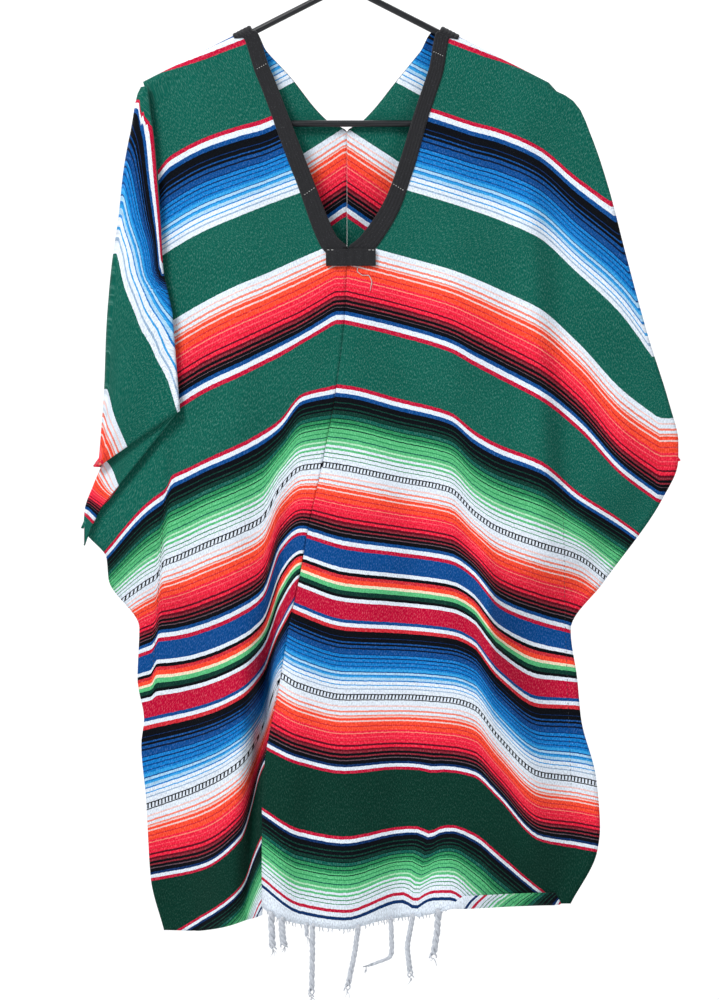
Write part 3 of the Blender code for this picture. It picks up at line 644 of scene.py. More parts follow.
def panel_point(name, row, share):
    """A point of the panel's middle surface. share runs from the inner edge to the outer."""
    inner_z, outer_z = row_ends(name, row)
    last = len(ROWS[name]) - 1
    seam = 0.0 if inner_z > NECK_POINT[name] else SEAM * SIDE[name]
    turn_half = FOLD_HALF[name] if outer_z > CORNER[name] + 1 else 0.0
    turn_half *= smooth_step(row / SLEEVE_TOP_ROW)
    inner_x = inner_edge[name](inner_z) + seam
    outer_x = outer_edge[name](outer_z) - turn_half * SIDE[name]
    x = inner_x + (outer_x - inner_x) * share
    z = inner_z + (outer_z - inner_z) * share
    z -= hem_dip[name](x) * smooth_step((row - last + 4) / 4)
    blend = smooth_step(row / 0.5)
    z = arm_height(x) * (1 - blend) + z * blend if row < 0.5 else z
    return Vector((x, FACE[name] * panel_depth(name, x, z), z))


def wrap_point(name, share, angle):
    """A point where the cloth bends over the hanger's arm, angle from level to upright."""
    base = panel_point(name, 0, share)
    lift = WRAP_R * math.sin(math.radians(angle))
    out = WRAP_R * math.cos(math.radians(angle))
    tilt = math.atan(ARM_SLOPE)
    return Vector((base.x + SIDE[name] * lift * math.sin(tilt), FACE[name] * out,
                   base.z + lift * math.cos(tilt)))


def row_numbers(name):
    count = (len(ROWS[name]) - 1) * ROW_STEPS
    below = [k / ROW_STEPS for k in range(count + 1) if k / ROW_STEPS > SLEEVE_TOP_ROW + LEAST_ROW_STEP]
    return [0.0, SLEEVE_TOP_ROW] + below


def corner_row(name):
    return [row[0] for row in ROWS[name]].index("sleeve_corner")


def polyline(points, share):
    """A point a share of the way along a run of points, by length."""
    lengths = [(b - a).length for a, b in zip(points, points[1:])]
    left = share * sum(lengths)
    for a, b, length in zip(points, points[1:], lengths):
        if left <= length:
            return a.lerp(b, left / length)
        left -= length
    return points[-1]


def layer_depth(name, row):
    """Depth to the front of the layer behind the sleeve fold, where it meets the fold."""
    _, outer_z = row_ends(name, row)
    panel = edge_depth[name](outer_z)
    if name == "back_left":
        return flap_depth(outer_z)
    if name == "front_left":
        return panel + UNDERLAP
    return -FACE[name] * panel * LAYER_SHARE


def turn_point(name, row, angle):
    """A point of the sleeve's fold, from the panel round to the layer."""
    edge = panel_point(name, row, 1.0)
    half = FOLD_HALF[name]
    far = -layer_depth(name, row)
    middle = (edge.y + far) / 2
    turn = math.radians(angle)
    return Vector((edge.x + SIDE[name] * half * math.sin(turn),
                   middle + (edge.y - far) / 2 * math.cos(turn), edge.z))


def crease_line(name):
    """The quarter's side of the crease: it stands a little off the crease's middle."""
    off = CREASE_HALF if FACE[name] < 0 else -CREASE_HALF
    if side_of(name) == "left":
        off = -off
    return [Vector((x, -depth - off, z)) for x, depth, z in CREASE[side_of(name)]]


def layer_point(name, row, share):
    """A point of the layer that runs from the sleeve's fold to the crease and selvage."""
    last = corner_row(name)
    crease = crease_line(name)
    start = turn_point(name, row, 180)
    top = turn_point(name, SLEEVE_TOP_ROW, 180)
    foot = turn_point(name, last, 180)
    along = (row - SLEEVE_TOP_ROW) / (last - SLEEVE_TOP_ROW)
    chord = start.lerp(crease[-1].lerp(foot, along), share)
    bend = polyline([top] + crease, share) - top.lerp(crease[-1], share)
    point = chord + bend * (1 - along)
    if name == "back_left":
        point.y -= FLAP_BULGE * math.sin(math.pi * share) * along * (1 - along) ** 0.5
    if name == "front_left":
        point.z -= UNDER_BULGE * math.exp(-((share - UNDER_BULGE_SHARE) / 0.13) ** 2) * along ** 3
    return point


def line_slip(name, x, z):
    """How far stitching or a tuck carries the woven lines up from their smooth course."""
    if name == "front_left":
        off = x - side_stitching(z)
        size = STITCH_SLIP["in"] if off > 0 else STITCH_SLIP["out"]
        ends = smooth_step((picture_z(SLIP_ROWS[0]) - z) / SLIP_FADES[0])
        ends *= smooth_step((z - picture_z(SLIP_ROWS[1])) / SLIP_FADES[1])
        return size * ends * math.tanh(off / SLIP_SOFTNESS) * math.exp(-abs(off) / SLIP_REACH)
    if name == "front_right":
        return -tuck_drop(z) * math.exp(-((x - tuck_place(z)) / HEM_TUCK_HALF) ** 2)
    return 0.0


def cloth_length_at(name, x, z):
    """Distance along the cloth of a place on a panel, 0 at the middle and + to the front."""
    side = side_of(name)
    shift = shoulder_shift[side](x)
    z -= line_slip(name, x, z)
    if name.startswith("front"):
        lines = (-shift,) + LINES
    else:
        lines = (shift,) + BACK_LINES
    top = arm_height(x) + WRAP_R
    heights = [top] + [height(x) for height in line_height[name]]
    for k in range(1, len(heights)):
        heights[k] = min(heights[k], heights[k - 1] - 4)
    value = smooth_curve([(-height, line) for height, line in zip(heights, lines)])
    reached = value(-z)
    if z < heights[-1]:
        reached = lines[-1] + heights[-1] - z
    return reached if name.startswith("front") else -reached


def cloth_width_at(name, x, z):
    """Distance across the cloth from its inner edge."""
    return abs(x - inner_edge[name](max(z, -1060))) * WEFT_STRETCH


def layer_length(name, x, z):
    """Distance along the cloth of a place on a layer folded forward at the left sleeve."""
    left, right, places = layer_map[name]
    share = min(max((x - left(z)) / (right(z) - left(z)), 0.0), 1.0)
    steps = len(places) - 1
    along = smooth_curve([(k / steps, place(z)) for k, place in enumerate(places)])(share)
    if name == "back_left":
        past = min(max(x - right(z), 0.0) * 1.2, EDGE_GREEN)
        along += past * smooth_step((z - picture_z(EDGE_FOOT + 6)) / 15)
    return along


def panel_flat(name, point):
    """Place in the flat cloth of a point of a panel, which joins the layer's at its fold."""
    along = cloth_length_at(name, point.x, point.z)
    if name in LEFT_LAYERS:
        reach = max(abs(outer_edge[name](point.z) - point.x) - FOLD_HALF[name], 0.0)
        near = 1 - smooth_step(reach / FOLD_BLEND)
        near *= smooth_step((point.z - CORNER[name]) / FOLD_BLEND)
        along += (layer_map[name][2][0](point.z) - along) * near
    return cloth_width_at(name, point.x, point.z), along


def edge_flat(name, row):
    """Place in the flat cloth of the sleeve's fold."""
    return panel_flat(name, panel_point(name, row, 1.0))


def turn_flat(name, row, share):
    """Place in the flat cloth of a point of the fold's turn, half of which faces the front."""
    across, along = edge_flat(name, row)
    if name in LEFT_LAYERS and share > 0.5:
        place = turn_point(name, row, 180 * share)
        along += (layer_length(name, place.x, place.z) - along) * (2 * share - 1) ** 0.5
    return across, along


def layer_flat(name, row, share):
    """Place in the flat cloth of a point of the layer behind the fold."""
    fold_across, fold_length = edge_flat(name, row)
    across = fold_across + (CLOTH_WIDTH - fold_across) * share
    if name in LEFT_LAYERS:
        place = layer_point(name, row, share)
        return across, layer_length(name, place.x, place.z)
    last = corner_row(name)
    along = (row - SLEEVE_TOP_ROW) / (last - SLEEVE_TOP_ROW)
    foot_length = edge_flat(name, last)[1]
    selvage_length = -crease_shift(1) + (foot_length + crease_shift(1)) * along
    bend = -crease_shift(share) + crease_shift(0) + (crease_shift(1) - crease_shift(0)) * share
    return across, fold_length + (selvage_length - fold_length) * share + bend * (1 - along)


def crease_length(side, place, share):
    if side == "right":
        return -crease_shift(share)
    return layer_length("back_left", place.x, place.z)


class FlatCloth:
    """A mesh in the making whose points each know their place in the flat cloth."""

    def __init__(self):
        self.maker = bmesh.new()
        self.flat = {}

    def point(self, place, flat):
        vert = self.maker.verts.new(place * MM)
        self.flat[vert] = flat
        return vert

    def strip(self, first, second):
        """Faces between two lines of points of the same count, which may share some."""
        for k in range(len(first) - 1):
            ring = []
            for vert in (first[k], second[k], second[k + 1], first[k + 1]):
                if vert not in ring:
                    ring.append(vert)
            if len(ring) > 2 and self.maker.faces.get(ring) is None:
                self.maker.faces.new(ring)

    def cap(self, loop):
        """Closes a small loop of points with a fan round its middle."""
        middle = sum((vert.co for vert in loop), Vector()) / len(loop)
        across = sum(self.flat[vert][0] for vert in loop) / len(loop)
        along = sum(self.flat[vert][1] for vert in loop) / len(loop)
        centre = self.maker.verts.new(middle)
        self.flat[centre] = (across, along)
        for a, b in zip(loop, loop[1:] + loop[:1]):
            if a is not b:
                self.maker.faces.new((centre, a, b))

    def finish(self, name, thickness, finish):
        bmesh.ops.recalc_face_normals(self.maker, faces=self.maker.faces)
        layer = self.maker.loops.layers.uv.new("cloth")
        for face in self.maker.faces:
            face.smooth = True
            for loop in face.loops:
                across, along = self.flat[loop.vert]
                loop[layer].uv = (across * MM, along * MM)
        mesh = bpy.data.meshes.new(name)
        self.maker.to_mesh(mesh)
        self.maker.free()
        mesh.materials.append(finish)
        piece = bpy.data.objects.new(name, mesh)
        bpy.context.scene.collection.objects.link(piece)
        wall = piece.modifiers.new("wall", "SOLIDIFY")
        wall.thickness = thickness * MM
        wall.offset = 0.0
        return piece


def hem_runs(cloth, line, forward, height, start_share):
    """Stretches of the hem that turn up, as (point's number, how far it turns up)."""
    runs = [[]]
    for k, vert in enumerate(line):
        over = max(HALF_LENGTH - abs(cloth.flat[vert][1]), 0.0)
        base = vert.co / MM
        if forward:
            room = smooth_step(over / 20) * smooth_step((picture_x(STRIP_END) - base.x) / 8)
        else:
            room = smooth_step(over / 30) * smooth_step((abs(base.y) - 5) / 8)
        reach = min(over, height) * room
        if k / (len(line) - 1) >= start_share and reach > 0.5:
            runs[-1].append((k, reach, room))
        elif runs[-1]:
            runs.append([])
    return [run for run in runs if len(run) > 1]


def turned_hem(cloth, name, line, forward, height, start_share):
    """The cloth past the hem's fold, turned up behind the panel or, forward, in front."""
    steps = 6
    turn_rate = 2.5
    lift_start = 0.15
    face = FACE[name] if forward else -FACE[name]
    gap = 2.6
    for run in hem_runs(cloth, line, forward, height, start_share):
        previous = [line[k] for k, _, _ in run]
        for step in range(1, steps + 1):
            t = step / steps
            angle = math.pi * min(t * turn_rate, 1)
            made = []
            for k, reach, room in run:
                across, along = cloth.flat[line[k]]
                lift = reach * max(t - lift_start, 0) - gap / 2 * math.sin(angle) * room
                place = line[k].co / MM + Vector((0, 0, lift))
                panel = FACE[name] * panel_depth(name, place.x, max(line[k].co.z / MM, place.z))
                place.y = panel + face * gap * room * (1 - math.cos(angle)) / 2
                sign = 1 if along > 0 else -1
                made.append(cloth.point(place, (across, along + sign * reach * t)))
            cloth.strip(previous, made)
            previous = made


def cloth_side(side, finish):
    """One side length of the serape, from the front hem to the back hem."""
    cloth = FlatCloth()
    front = "front_" + side
    back = "back_" + side
    shares = [k / PANEL_COLUMNS for k in range(PANEL_COLUMNS + 1)]
    apex = []
    for share in shares:
        place = wrap_point(front, share, 90)
        place.y = 0.0
        apex.append(cloth.point(place, (cloth_width_at(front, place.x, place.z),
                                        -shoulder_shift[side](place.x))))
    loops = {}
    layers = {}
    for name in (front, back):
        above = apex
        outer_edge_line = []
        for angle in reversed(WRAP_ANGLES):
            line = []
            for k, share in enumerate(shares):
                place = wrap_point(name, share, angle)
                rise = WRAP_R * math.radians(90 - angle) * (-FACE[name])
                flat = (cloth.flat[apex[k]][0], cloth.flat[apex[k]][1] + rise)
                line.append(cloth.point(place, flat))
            cloth.strip(above, line)
            outer_edge_line.append(line[-1])
            above = line
        joined = WRAP_R * math.pi / 2
        sleeve_above = None
        for row in row_numbers(name)[1:]:
            line = []
            for share in shares:
                place = panel_point(name, row, share)
                across, along = panel_flat(name, place)
                near = smooth_step((arm_height(place.x) - place.z) / 20)
                straight = (-shoulder_shift[side](place.x)
                            - FACE[name] * (joined + arm_height(place.x) - place.z))
                line.append(cloth.point(place, (across, straight + (along - straight) * near)))
            cloth.strip(above, line)
            above = line
            if row > corner_row(name):
                continue
            turn = [line[-1]]
            for step in range(1, TURN_STEPS):
                place = turn_point(name, row, 180 * step / TURN_STEPS)
                turn.append(cloth.point(place, turn_flat(name, row, step / TURN_STEPS)))
            for k in range(LAYER_COLUMNS + 1):
                share = k / LAYER_COLUMNS
                turn.append(cloth.point(layer_point(name, row, share),
                                        layer_flat(name, row, share)))
            if sleeve_above is None:
                outer_edge_line.append(line[-1])
                loops[name] = outer_edge_line + turn[1:TURN_STEPS + 1]
                layers[name] = turn[TURN_STEPS:]
            else:
                cloth.strip(sleeve_above, turn)
            sleeve_above = turn
        last_line = above
        if name == "front_right":
            turned_hem(cloth, name, last_line, True, 14.0, 0.5)
        else:
            turned_hem(cloth, name, last_line, False, 60.0, 0.0)
    crease = []
    for k in range(LAYER_COLUMNS + 1):
        ahead = layers[front][k].co / MM
        behind = layers[back][k].co / MM
        place = (ahead + behind) / 2 + Vector((-SIDE[front] * CREASE_HALF * 0.7, 0, 1.0))
        across = cloth.flat[layers[front][k]][0]
        length = crease_length(side, place, k / LAYER_COLUMNS)
        crease.append(cloth.point(place, (across, length)))
    cloth.strip(layers[front], crease)
    cloth.strip(crease, layers[back])
    loop = [apex[-1]] + loops[front] + [crease[0]] + list(reversed(loops[back]))
    cloth.cap(loop)
    piece = cloth.finish("serape_" + side, CLOTH, finish)
    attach(piece, "root")
    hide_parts(front, back)
    return piece


def new_material(name, roughness):
    made = bpy.data.materials.new(name)
    made.use_nodes = True
    shader = made.node_tree.nodes["Principled BSDF"]
    shader.inputs["Roughness"].default_value = roughness
    return made, made.node_tree.nodes, made.node_tree.links, shader


def math_node(nodes, links, operation, *values):
    """A math node whose inputs are numbers or sockets. Returns its result."""
    node = nodes.new("ShaderNodeMath")
    node.operation = operation
    for socket, value in zip(node.inputs, values):
        if isinstance(value, (int, float)):
            socket.default_value = value
        else:
            links.new(value, socket)
    return node.outputs[0]


def mix_colour(nodes, links, factor, first, second, blend="MIX"):
    """A colour mix whose inputs are values or sockets. Returns its result."""
    node = nodes.new("ShaderNodeMix")
    node.data_type = "RGBA"
    node.blend_type = blend
    for socket, value in zip((node.inputs[0], node.inputs[6], node.inputs[7]),
                             (factor, first, second)):
        if isinstance(value, (int, float, tuple)):
            socket.default_value = value
        else:
            links.new(value, socket)
    return node.outputs[2]


def noise_node(nodes, links, vector, scale, detail=2.0, roughness=0.5):
    node = nodes.new("ShaderNodeTexNoise")
    node.inputs["Scale"].default_value = scale
    node.inputs["Detail"].default_value = detail
    node.inputs["Roughness"].default_value = roughness
    if vector is not None:
        links.new(vector, node.inputs["Vector"])
    return node.outputs["Fac"]


def stretched(nodes, links, vector, scale):
    node = nodes.new("ShaderNodeVectorMath")
    node.operation = "MULTIPLY"
    node.inputs[1].default_value = scale
    links.new(vector, node.inputs[0])
    return node.outputs[0]


def stripe_stops():
    """Where each woven stripe starts, along the cloth from its middle, with its colour."""
    stops = []
    place = 0.0
    for length, stripes in STRIPES:
        total = sum(share for _, share in stripes)
        for colour, share in stripes:
            stops.append((place, COLOURS[colour]))
            place += length * share / total
    return stops, place


def stripe_colour(nodes, links, along):
    """The woven colour at a distance along the cloth, from as many ramps as it takes."""
    stops, end = stripe_stops()
    result = None
    for first in range(0, len(stops), RAMP_STOPS):
        group = stops[first:first + RAMP_STOPS]
        start = group[0][0]
        stop = stops[first + RAMP_STOPS][0] if first + RAMP_STOPS < len(stops) else end
        share = nodes.new("ShaderNodeMapRange")
        share.inputs["From Min"].default_value = start * MM
        share.inputs["From Max"].default_value = stop * MM
        links.new(along, share.inputs["Value"])
        ramp = nodes.new("ShaderNodeValToRGB")
        ramp.color_ramp.interpolation = "CONSTANT"
        elements = ramp.color_ramp.elements
        elements.remove(elements[1])
        elements[0].position = 0.0
        elements[0].color = group[0][1]
        for place, colour in group[1:]:
            elements.new((place - start) / (stop - start)).color = colour
        links.new(share.outputs["Result"], ramp.inputs["Fac"])
        if result is None:
            result = ramp.outputs["Color"]
            continue
        past = math_node(nodes, links, "GREATER_THAN", along, start * MM)
        result = mix_colour(nodes, links, past, result, ramp.outputs["Color"])
    return result


def cloth_material():
    """Striped acrylic weave: the stripes run across, each laid in whole weft threads."""
    made, nodes, links, shader = new_material("serape_cloth", 0.88)
    place = nodes.new("ShaderNodeUVMap")
    place.uv_map = "cloth"
    flat = place.outputs["UV"]
    split = nodes.new("ShaderNodeSeparateXYZ")
    links.new(flat, split.inputs[0])
    across = split.outputs["X"]
    along = split.outputs["Y"]
    waver = noise_node(nodes, links, stretched(nodes, links, flat, (220.0, 60.0, 1.0)), 1.0, 2.0)
    shifted = math_node(nodes, links, "MULTIPLY_ADD", waver, 0.0011, along)
    centred = math_node(nodes, links, "SUBTRACT", shifted, 0.00055)
    distance = math_node(nodes, links, "ABSOLUTE", centred)
    colour = stripe_colour(nodes, links, distance)
    turns = math_node(nodes, links, "DIVIDE", across, LADDER_PITCH * MM)
    bar = math_node(nodes, links, "LESS_THAN", math_node(nodes, links, "FRACT", turns),
                    LADDER_BAR_SHARE)
    for middle in LADDERS:
        there = math_node(nodes, links, "COMPARE", distance, middle * MM, LADDER_HALF * MM)
        colour = mix_colour(nodes, links, math_node(nodes, links, "MULTIPLY", there, bar),
                            colour, COLOURS["black"])
    fleck = noise_node(nodes, links, stretched(nodes, links, flat, (900.0, 380.0, 1.0)), 1.0, 2.0)
    lighter = nodes.new("ShaderNodeMapRange")
    lighter.inputs["From Min"].default_value = 0.5
    lighter.inputs["From Max"].default_value = 0.8
    lighter.inputs["To Max"].default_value = 0.13
    links.new(fleck, lighter.inputs["Value"])
    value = nodes.new("ShaderNodeRGBToBW")
    links.new(colour, value.inputs[0])
    bright = math_node(nodes, links, "MULTIPLY", value.outputs[0], 11.0)
    bright = math_node(nodes, links, "MINIMUM", bright, 1.0)
    part = math_node(nodes, links, "MULTIPLY", lighter.outputs["Result"], bright)
    colour = mix_colour(nodes, links, part, colour, srgb(205, 226, 222))
    thread = nodes.new("ShaderNodeMapRange")
    thread.inputs["From Min"].default_value = 0.3
    thread.inputs["From Max"].default_value = 0.7
    thread.inputs["To Min"].default_value = 0.72
    thread.inputs["To Max"].default_value = 1.2
    links.new(fleck, thread.inputs["Value"])
    patch = noise_node(nodes, links, flat, 14.0, 3.0)
    broad_shade = nodes.new("ShaderNodeMapRange")
    broad_shade.inputs["To Min"].default_value = 0.84
    broad_shade.inputs["To Max"].default_value = 1.14
    links.new(patch, broad_shade.inputs["Value"])
    shade = math_node(nodes, links, "MULTIPLY", thread.outputs["Result"],
                      broad_shade.outputs["Result"])
    grey = nodes.new("ShaderNodeCombineColor")
    for socket in grey.inputs:
        links.new(shade, socket)
    colour = mix_colour(nodes, links, 1.0, colour, grey.outputs[0], "MULTIPLY")
    links.new(colour, shader.inputs["Base Color"])
    weft = math_node(nodes, links, "SINE", math_node(nodes, links, "MULTIPLY", along, 2400.0))
    warp = math_node(nodes, links, "SINE", math_node(nodes, links, "MULTIPLY", across, 3100.0))
    weave = math_node(nodes, links, "MULTIPLY", weft, warp)
    grain = math_node(nodes, links, "MULTIPLY_ADD", fleck, 1.6, weave)
    fine = nodes.new("ShaderNodeBump")
    fine.inputs["Strength"].default_value = 0.35
    fine.inputs["Distance"].default_value = 0.0004
    links.new(grain, fine.inputs["Height"])
    ripple = noise_node(nodes, links, stretched(nodes, links, flat, (50.0, 110.0, 1.0)), 1.0, 3.0)
    broad = nodes.new("ShaderNodeBump")
    broad.inputs["Strength"].default_value = 0.3
    broad.inputs["Distance"].default_value = 0.0014
    links.new(ripple, broad.inputs["Height"])
    links.new(fine.outputs["Normal"], broad.inputs["Normal"])
    links.new(broad.outputs["Normal"], shader.inputs["Normal"])
    shader.inputs["Sheen Weight"].default_value = 0.03
    shader.inputs["Sheen Roughness"].default_value = 0.5
    shader.inputs["Specular IOR Level"].default_value = 0.08
    return made


def tape_material():
    """Black woven tape with fine cross threads and a little lint."""
    made, nodes, links, shader = new_material("neck_tape", 0.72)
    coords = nodes.new("ShaderNodeTexCoord").outputs["Object"]
    threads = nodes.new("ShaderNodeTexWave")
    threads.inputs["Scale"].default_value = 900.0
    threads.inputs["Distortion"].default_value = 1.5
    threads.bands_direction = "Z"
    links.new(coords, threads.inputs["Vector"])
    lint = noise_node(nodes, links, coords, 900.0, 3.0)
    mask = nodes.new("ShaderNodeMapRange")
    mask.inputs["From Min"].default_value = 0.6
    mask.inputs["From Max"].default_value = 0.8
    links.new(lint, mask.inputs["Value"])
    colour = mix_colour(nodes, links, mask.outputs["Result"], srgb(20, 20, 24), srgb(70, 70, 76))
    links.new(colour, shader.inputs["Base Color"])
    bump = nodes.new("ShaderNodeBump")
    bump.inputs["Strength"].default_value = 0.35
    bump.inputs["Distance"].default_value = 0.0003
    links.new(threads.outputs["Fac"], bump.inputs["Height"])
    links.new(bump.outputs["Normal"], shader.inputs["Normal"])
    shader.inputs["Sheen Weight"].default_value = 0.1
    shader.inputs["Specular IOR Level"].default_value = 0.3
    return made


def thread_material(name, light, dark):
    """Spun thread, a little uneven in colour."""
    made, nodes, links, shader = new_material(name, 0.85)
    coords = nodes.new("ShaderNodeTexCoord").outputs["Object"]
    spots = noise_node(nodes, links, coords, 260.0, 3.0)
    colour = mix_colour(nodes, links, spots, dark, light)
    links.new(colour, shader.inputs["Base Color"])
    fibre = noise_node(nodes, links, coords, 2400.0, 2.0)
    bump = nodes.new("ShaderNodeBump")
    bump.inputs["Strength"].default_value = 0.3
    bump.inputs["Distance"].default_value = 0.0002
    links.new(fibre, bump.inputs["Height"])
    links.new(bump.outputs["Normal"], shader.inputs["Normal"])
    shader.inputs["Sheen Weight"].default_value = 0.2
    return made


def plastic_material():
    """Black moulded plastic with faint handling marks."""
    made, nodes, links, shader = new_material("hanger_plastic", 0.38)
    coords = nodes.new("ShaderNodeTexCoord").outputs["Object"]
    marks = noise_node(nodes, links, coords, 120.0, 4.0)
    rough = nodes.new("ShaderNodeMapRange")
    rough.inputs["To Min"].default_value = 0.3
    rough.inputs["To Max"].default_value = 0.5
    links.new(marks, rough.inputs["Value"])
    links.new(rough.outputs["Result"], shader.inputs["Roughness"])
    colour = mix_colour(nodes, links, marks, srgb(6, 8, 12), srgb(18, 20, 26))
    links.new(colour, shader.inputs["Base Color"])
    bump = nodes.new("ShaderNodeBump")
    bump.inputs["Strength"].default_value = 0.1
    bump.inputs["Distance"].default_value = 0.0003
    links.new(marks, bump.inputs["Height"])
    links.new(bump.outputs["Normal"], shader.inputs["Normal"])
    return made


def mesh_piece(maker, name, finish, smooth=True):
    mesh = bpy.data.meshes.new(name)
    maker.to_mesh(mesh)
    maker.free()
    mesh.materials.append(finish)
    if smooth:
        mesh.shade_smooth()
    piece = bpy.data.objects.new(name, mesh)
    bpy.context.scene.collection.objects.link(piece)
    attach(piece, "root")
    return piece


def tape_row(front, back, row, share):
    """The cloth's own points under the neck tape, run over the shoulder as one strip."""
    name = front if row <= 0 else back
    number = abs(row)
    near = panel_point(name, number, 0.0)
    far = panel_point(name, number, 1.0)
    along = share * TAPE_WIDTH / (far - near).length
    if number < 1:
        angle = 90 * (1 - number)
        point = wrap_point(name, along * (far - near).length / 130, angle)
        if number == 0:
            point.y = 0.0
        return point
    return panel_point(name, number - 1, along)


def moved_out(rows, offsets):
    """A grid of points moved along its own normals, each column by its own offset."""
    moved = []
    for i, row in enumerate(rows):
        line = []
        for j, point in enumerate(row):
            down = rows[min(i + 1, len(rows) - 1)][j] - rows[max(i - 1, 0)][j]
            across = row[min(j + 1, len(row) - 1)] - row[max(j - 1, 0)]
            line.append(point + down.cross(across).normalized() * offsets[j])
        moved.append(line)
    return moved


def grid_piece(rows, name, thickness, finish):
    maker = bmesh.new()
    verts = [[maker.verts.new(point * MM) for point in row] for row in rows]
    for upper, lower in zip(verts, verts[1:]):
        for k in range(len(upper) - 1):
            maker.faces.new((upper[k], lower[k], lower[k + 1], upper[k + 1]))
    piece = mesh_piece(maker, name, finish)
    wall = piece.modifiers.new("wall", "SOLIDIFY")
    wall.thickness = thickness * MM
    wall.offset = 0.0
    return piece


def tape_rise(share):
    """The ribbed tape's height over the cloth at a share of its width."""
    base = (CAD_CLOTH + CAD_TAPE) / 2 + GAP + TAPE_CLEARANCE - 0.3
    rib = abs(math.sin(math.pi * TAPE_RIBS * share)) ** 0.7
    edge = 1 - smooth_step(min(share, 1 - share) / 0.06)
    return base + TAPE_RIB_HEIGHT * rib - 0.6 * edge


def neck_tape_rows(side):
    front = "front_" + side
    back = "back_" + side
    front_end = [row[0] for row in ROWS[front]].index("neck_point")
    back_end = [row[0] for row in ROWS[back]].index("neck_point")
    steps = ROW_STEPS * 2
    numbers = [-1 - k / steps for k in range(steps * front_end, -1, -1)]
    numbers += [-0.75, -0.5, -0.25, 0.0, 0.25, 0.5, 0.75]
    numbers += [1 + k / steps for k in range(steps * back_end + 1)]
    shares = [k / TAPE_STEPS for k in range(TAPE_STEPS + 1)]
    rows = [[tape_row(front, back, row, share) for share in shares] for row in numbers]
    return rows, shares


def dash(maker, start, end, radius, up):
    """A stitch: a short thread that bows a little off the cloth."""
    middle = (start + end) / 2 + up * radius * 0.9
    run = (end - start).normalized()
    side = run.cross(up).normalized()
    rings = []
    for place, size in ((start, 0.35), (start.lerp(middle, 0.6), 1.0), (middle, 1.0),
                        (end.lerp(middle, 0.6), 1.0), (end, 0.35)):
        ring = []
        for k in range(5):
            angle = 2 * math.pi * k / 5
            off = side * math.cos(angle) + up * math.sin(angle)
            ring.append(maker.verts.new((place + off * radius * size) * MM))
        rings.append(ring)
    for a, b in zip(rings, rings[1:]):
        for k in range(5):
            j = (k + 1) % 5
            maker.faces.new((a[k], a[j], b[j], b[k]))
    maker.faces.new(list(reversed(rings[0])))
    maker.faces.new(rings[-1])


def stitch_line(maker, points, ups, length, pitch, radius):
    """Stitches laid along a run of points, each with the direction off the cloth."""
    distance = 0.0
    target = pitch / 2
    for a, b, up in zip(points, points[1:], ups):
        step = (b - a).length
        while step > 0 and target < distance + step:
            middle = a.lerp(b, (target - distance) / step)
            run = (b - a).normalized() * length / 2
            dash(maker, middle - run, middle + run, radius, up)
            target += pitch
        distance += step


def neck_tape(side, tape, thread):
    """Ribbed tape from the foot of the V over the shoulder to the middle of the back."""
    rows, shares = neck_tape_rows(side)
    sign = -1 if side == "right" else 1
    offsets = [tape_rise(share) * sign for share in shares]
    placed = moved_out(rows, offsets)
    piece = grid_piece(placed, "neck_tape_" + side + "_ribbed", TAPE, tape)
    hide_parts("neck_tape_" + side)
    tops = moved_out(rows, [offset + sign * (TAPE / 2 + 0.1) for offset in offsets])
    maker = bmesh.new()
    for height in TAPE_TACKS[side]:
        k = min(range(len(tops)), key=lambda k: abs(tops[k][0].z - height) + 9 * (tops[k][0].y > 0))
        up = (tops[k][TAPE_STEPS // 2] - placed[k][TAPE_STEPS // 2]).normalized()
        for column in range(2, TAPE_STEPS - 3, 4):
            dash(maker, tops[k][column], tops[k][column + 2], 0.42, up)
    stitches = mesh_piece(maker, "neck_tape_" + side + "_stitches", thread)
    return piece


def front_point(x, z):
    """The front's middle surface at a place in the picture's plane."""
    name = "front_right" if x > front_seam(z) else "front_left"
    return Vector((x, -panel_depth(name, x, z), z))


def tape_block(tape, thread):
    """The squared end where the two tapes meet below the V."""
    columns = 40
    lines = 14
    rows = []
    for i in range(lines + 1):
        z = BLOCK_TOP - BLOCK_HEIGHT * i / lines
        rows.append([front_point(BLOCK_MIDDLE + BLOCK_WIDTH * (j / columns - 0.5), z)
                     for j in range(columns + 1)])
    over_tape = CAD_TAPE + GAP + TAPE_CLEARANCE
    offsets = [tape_rise(0.5 / TAPE_RIBS + 0.04) + over_tape + 0.25 * math.cos(j * 0.9)
               for j in range(columns + 1)]
    placed = moved_out(rows, offsets)
    piece = grid_piece(placed, "neck_tape_block_sewn", TAPE, tape)
    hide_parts("neck_tape_block")
    maker = bmesh.new()
    tops = moved_out(rows, [offset + TAPE / 2 + 0.1 for offset in offsets])
    toward = Vector((0, -1, 0))
    for column in (1, 4, columns - 6, columns - 3):
        dash(maker, tops[1][column], tops[1][column + 2], 0.42, toward)
    loose = [front_point(picture_x(column), picture_z(row)) + toward * (CLOTH / 2 + 0.9)
             for column, row in LOOSE_THREAD]
    thread_tube(maker, [polyline(loose, k / 20) for k in range(21)], 0.42)
    stitches = mesh_piece(maker, "neck_tape_block_stitches", thread)
    return piece


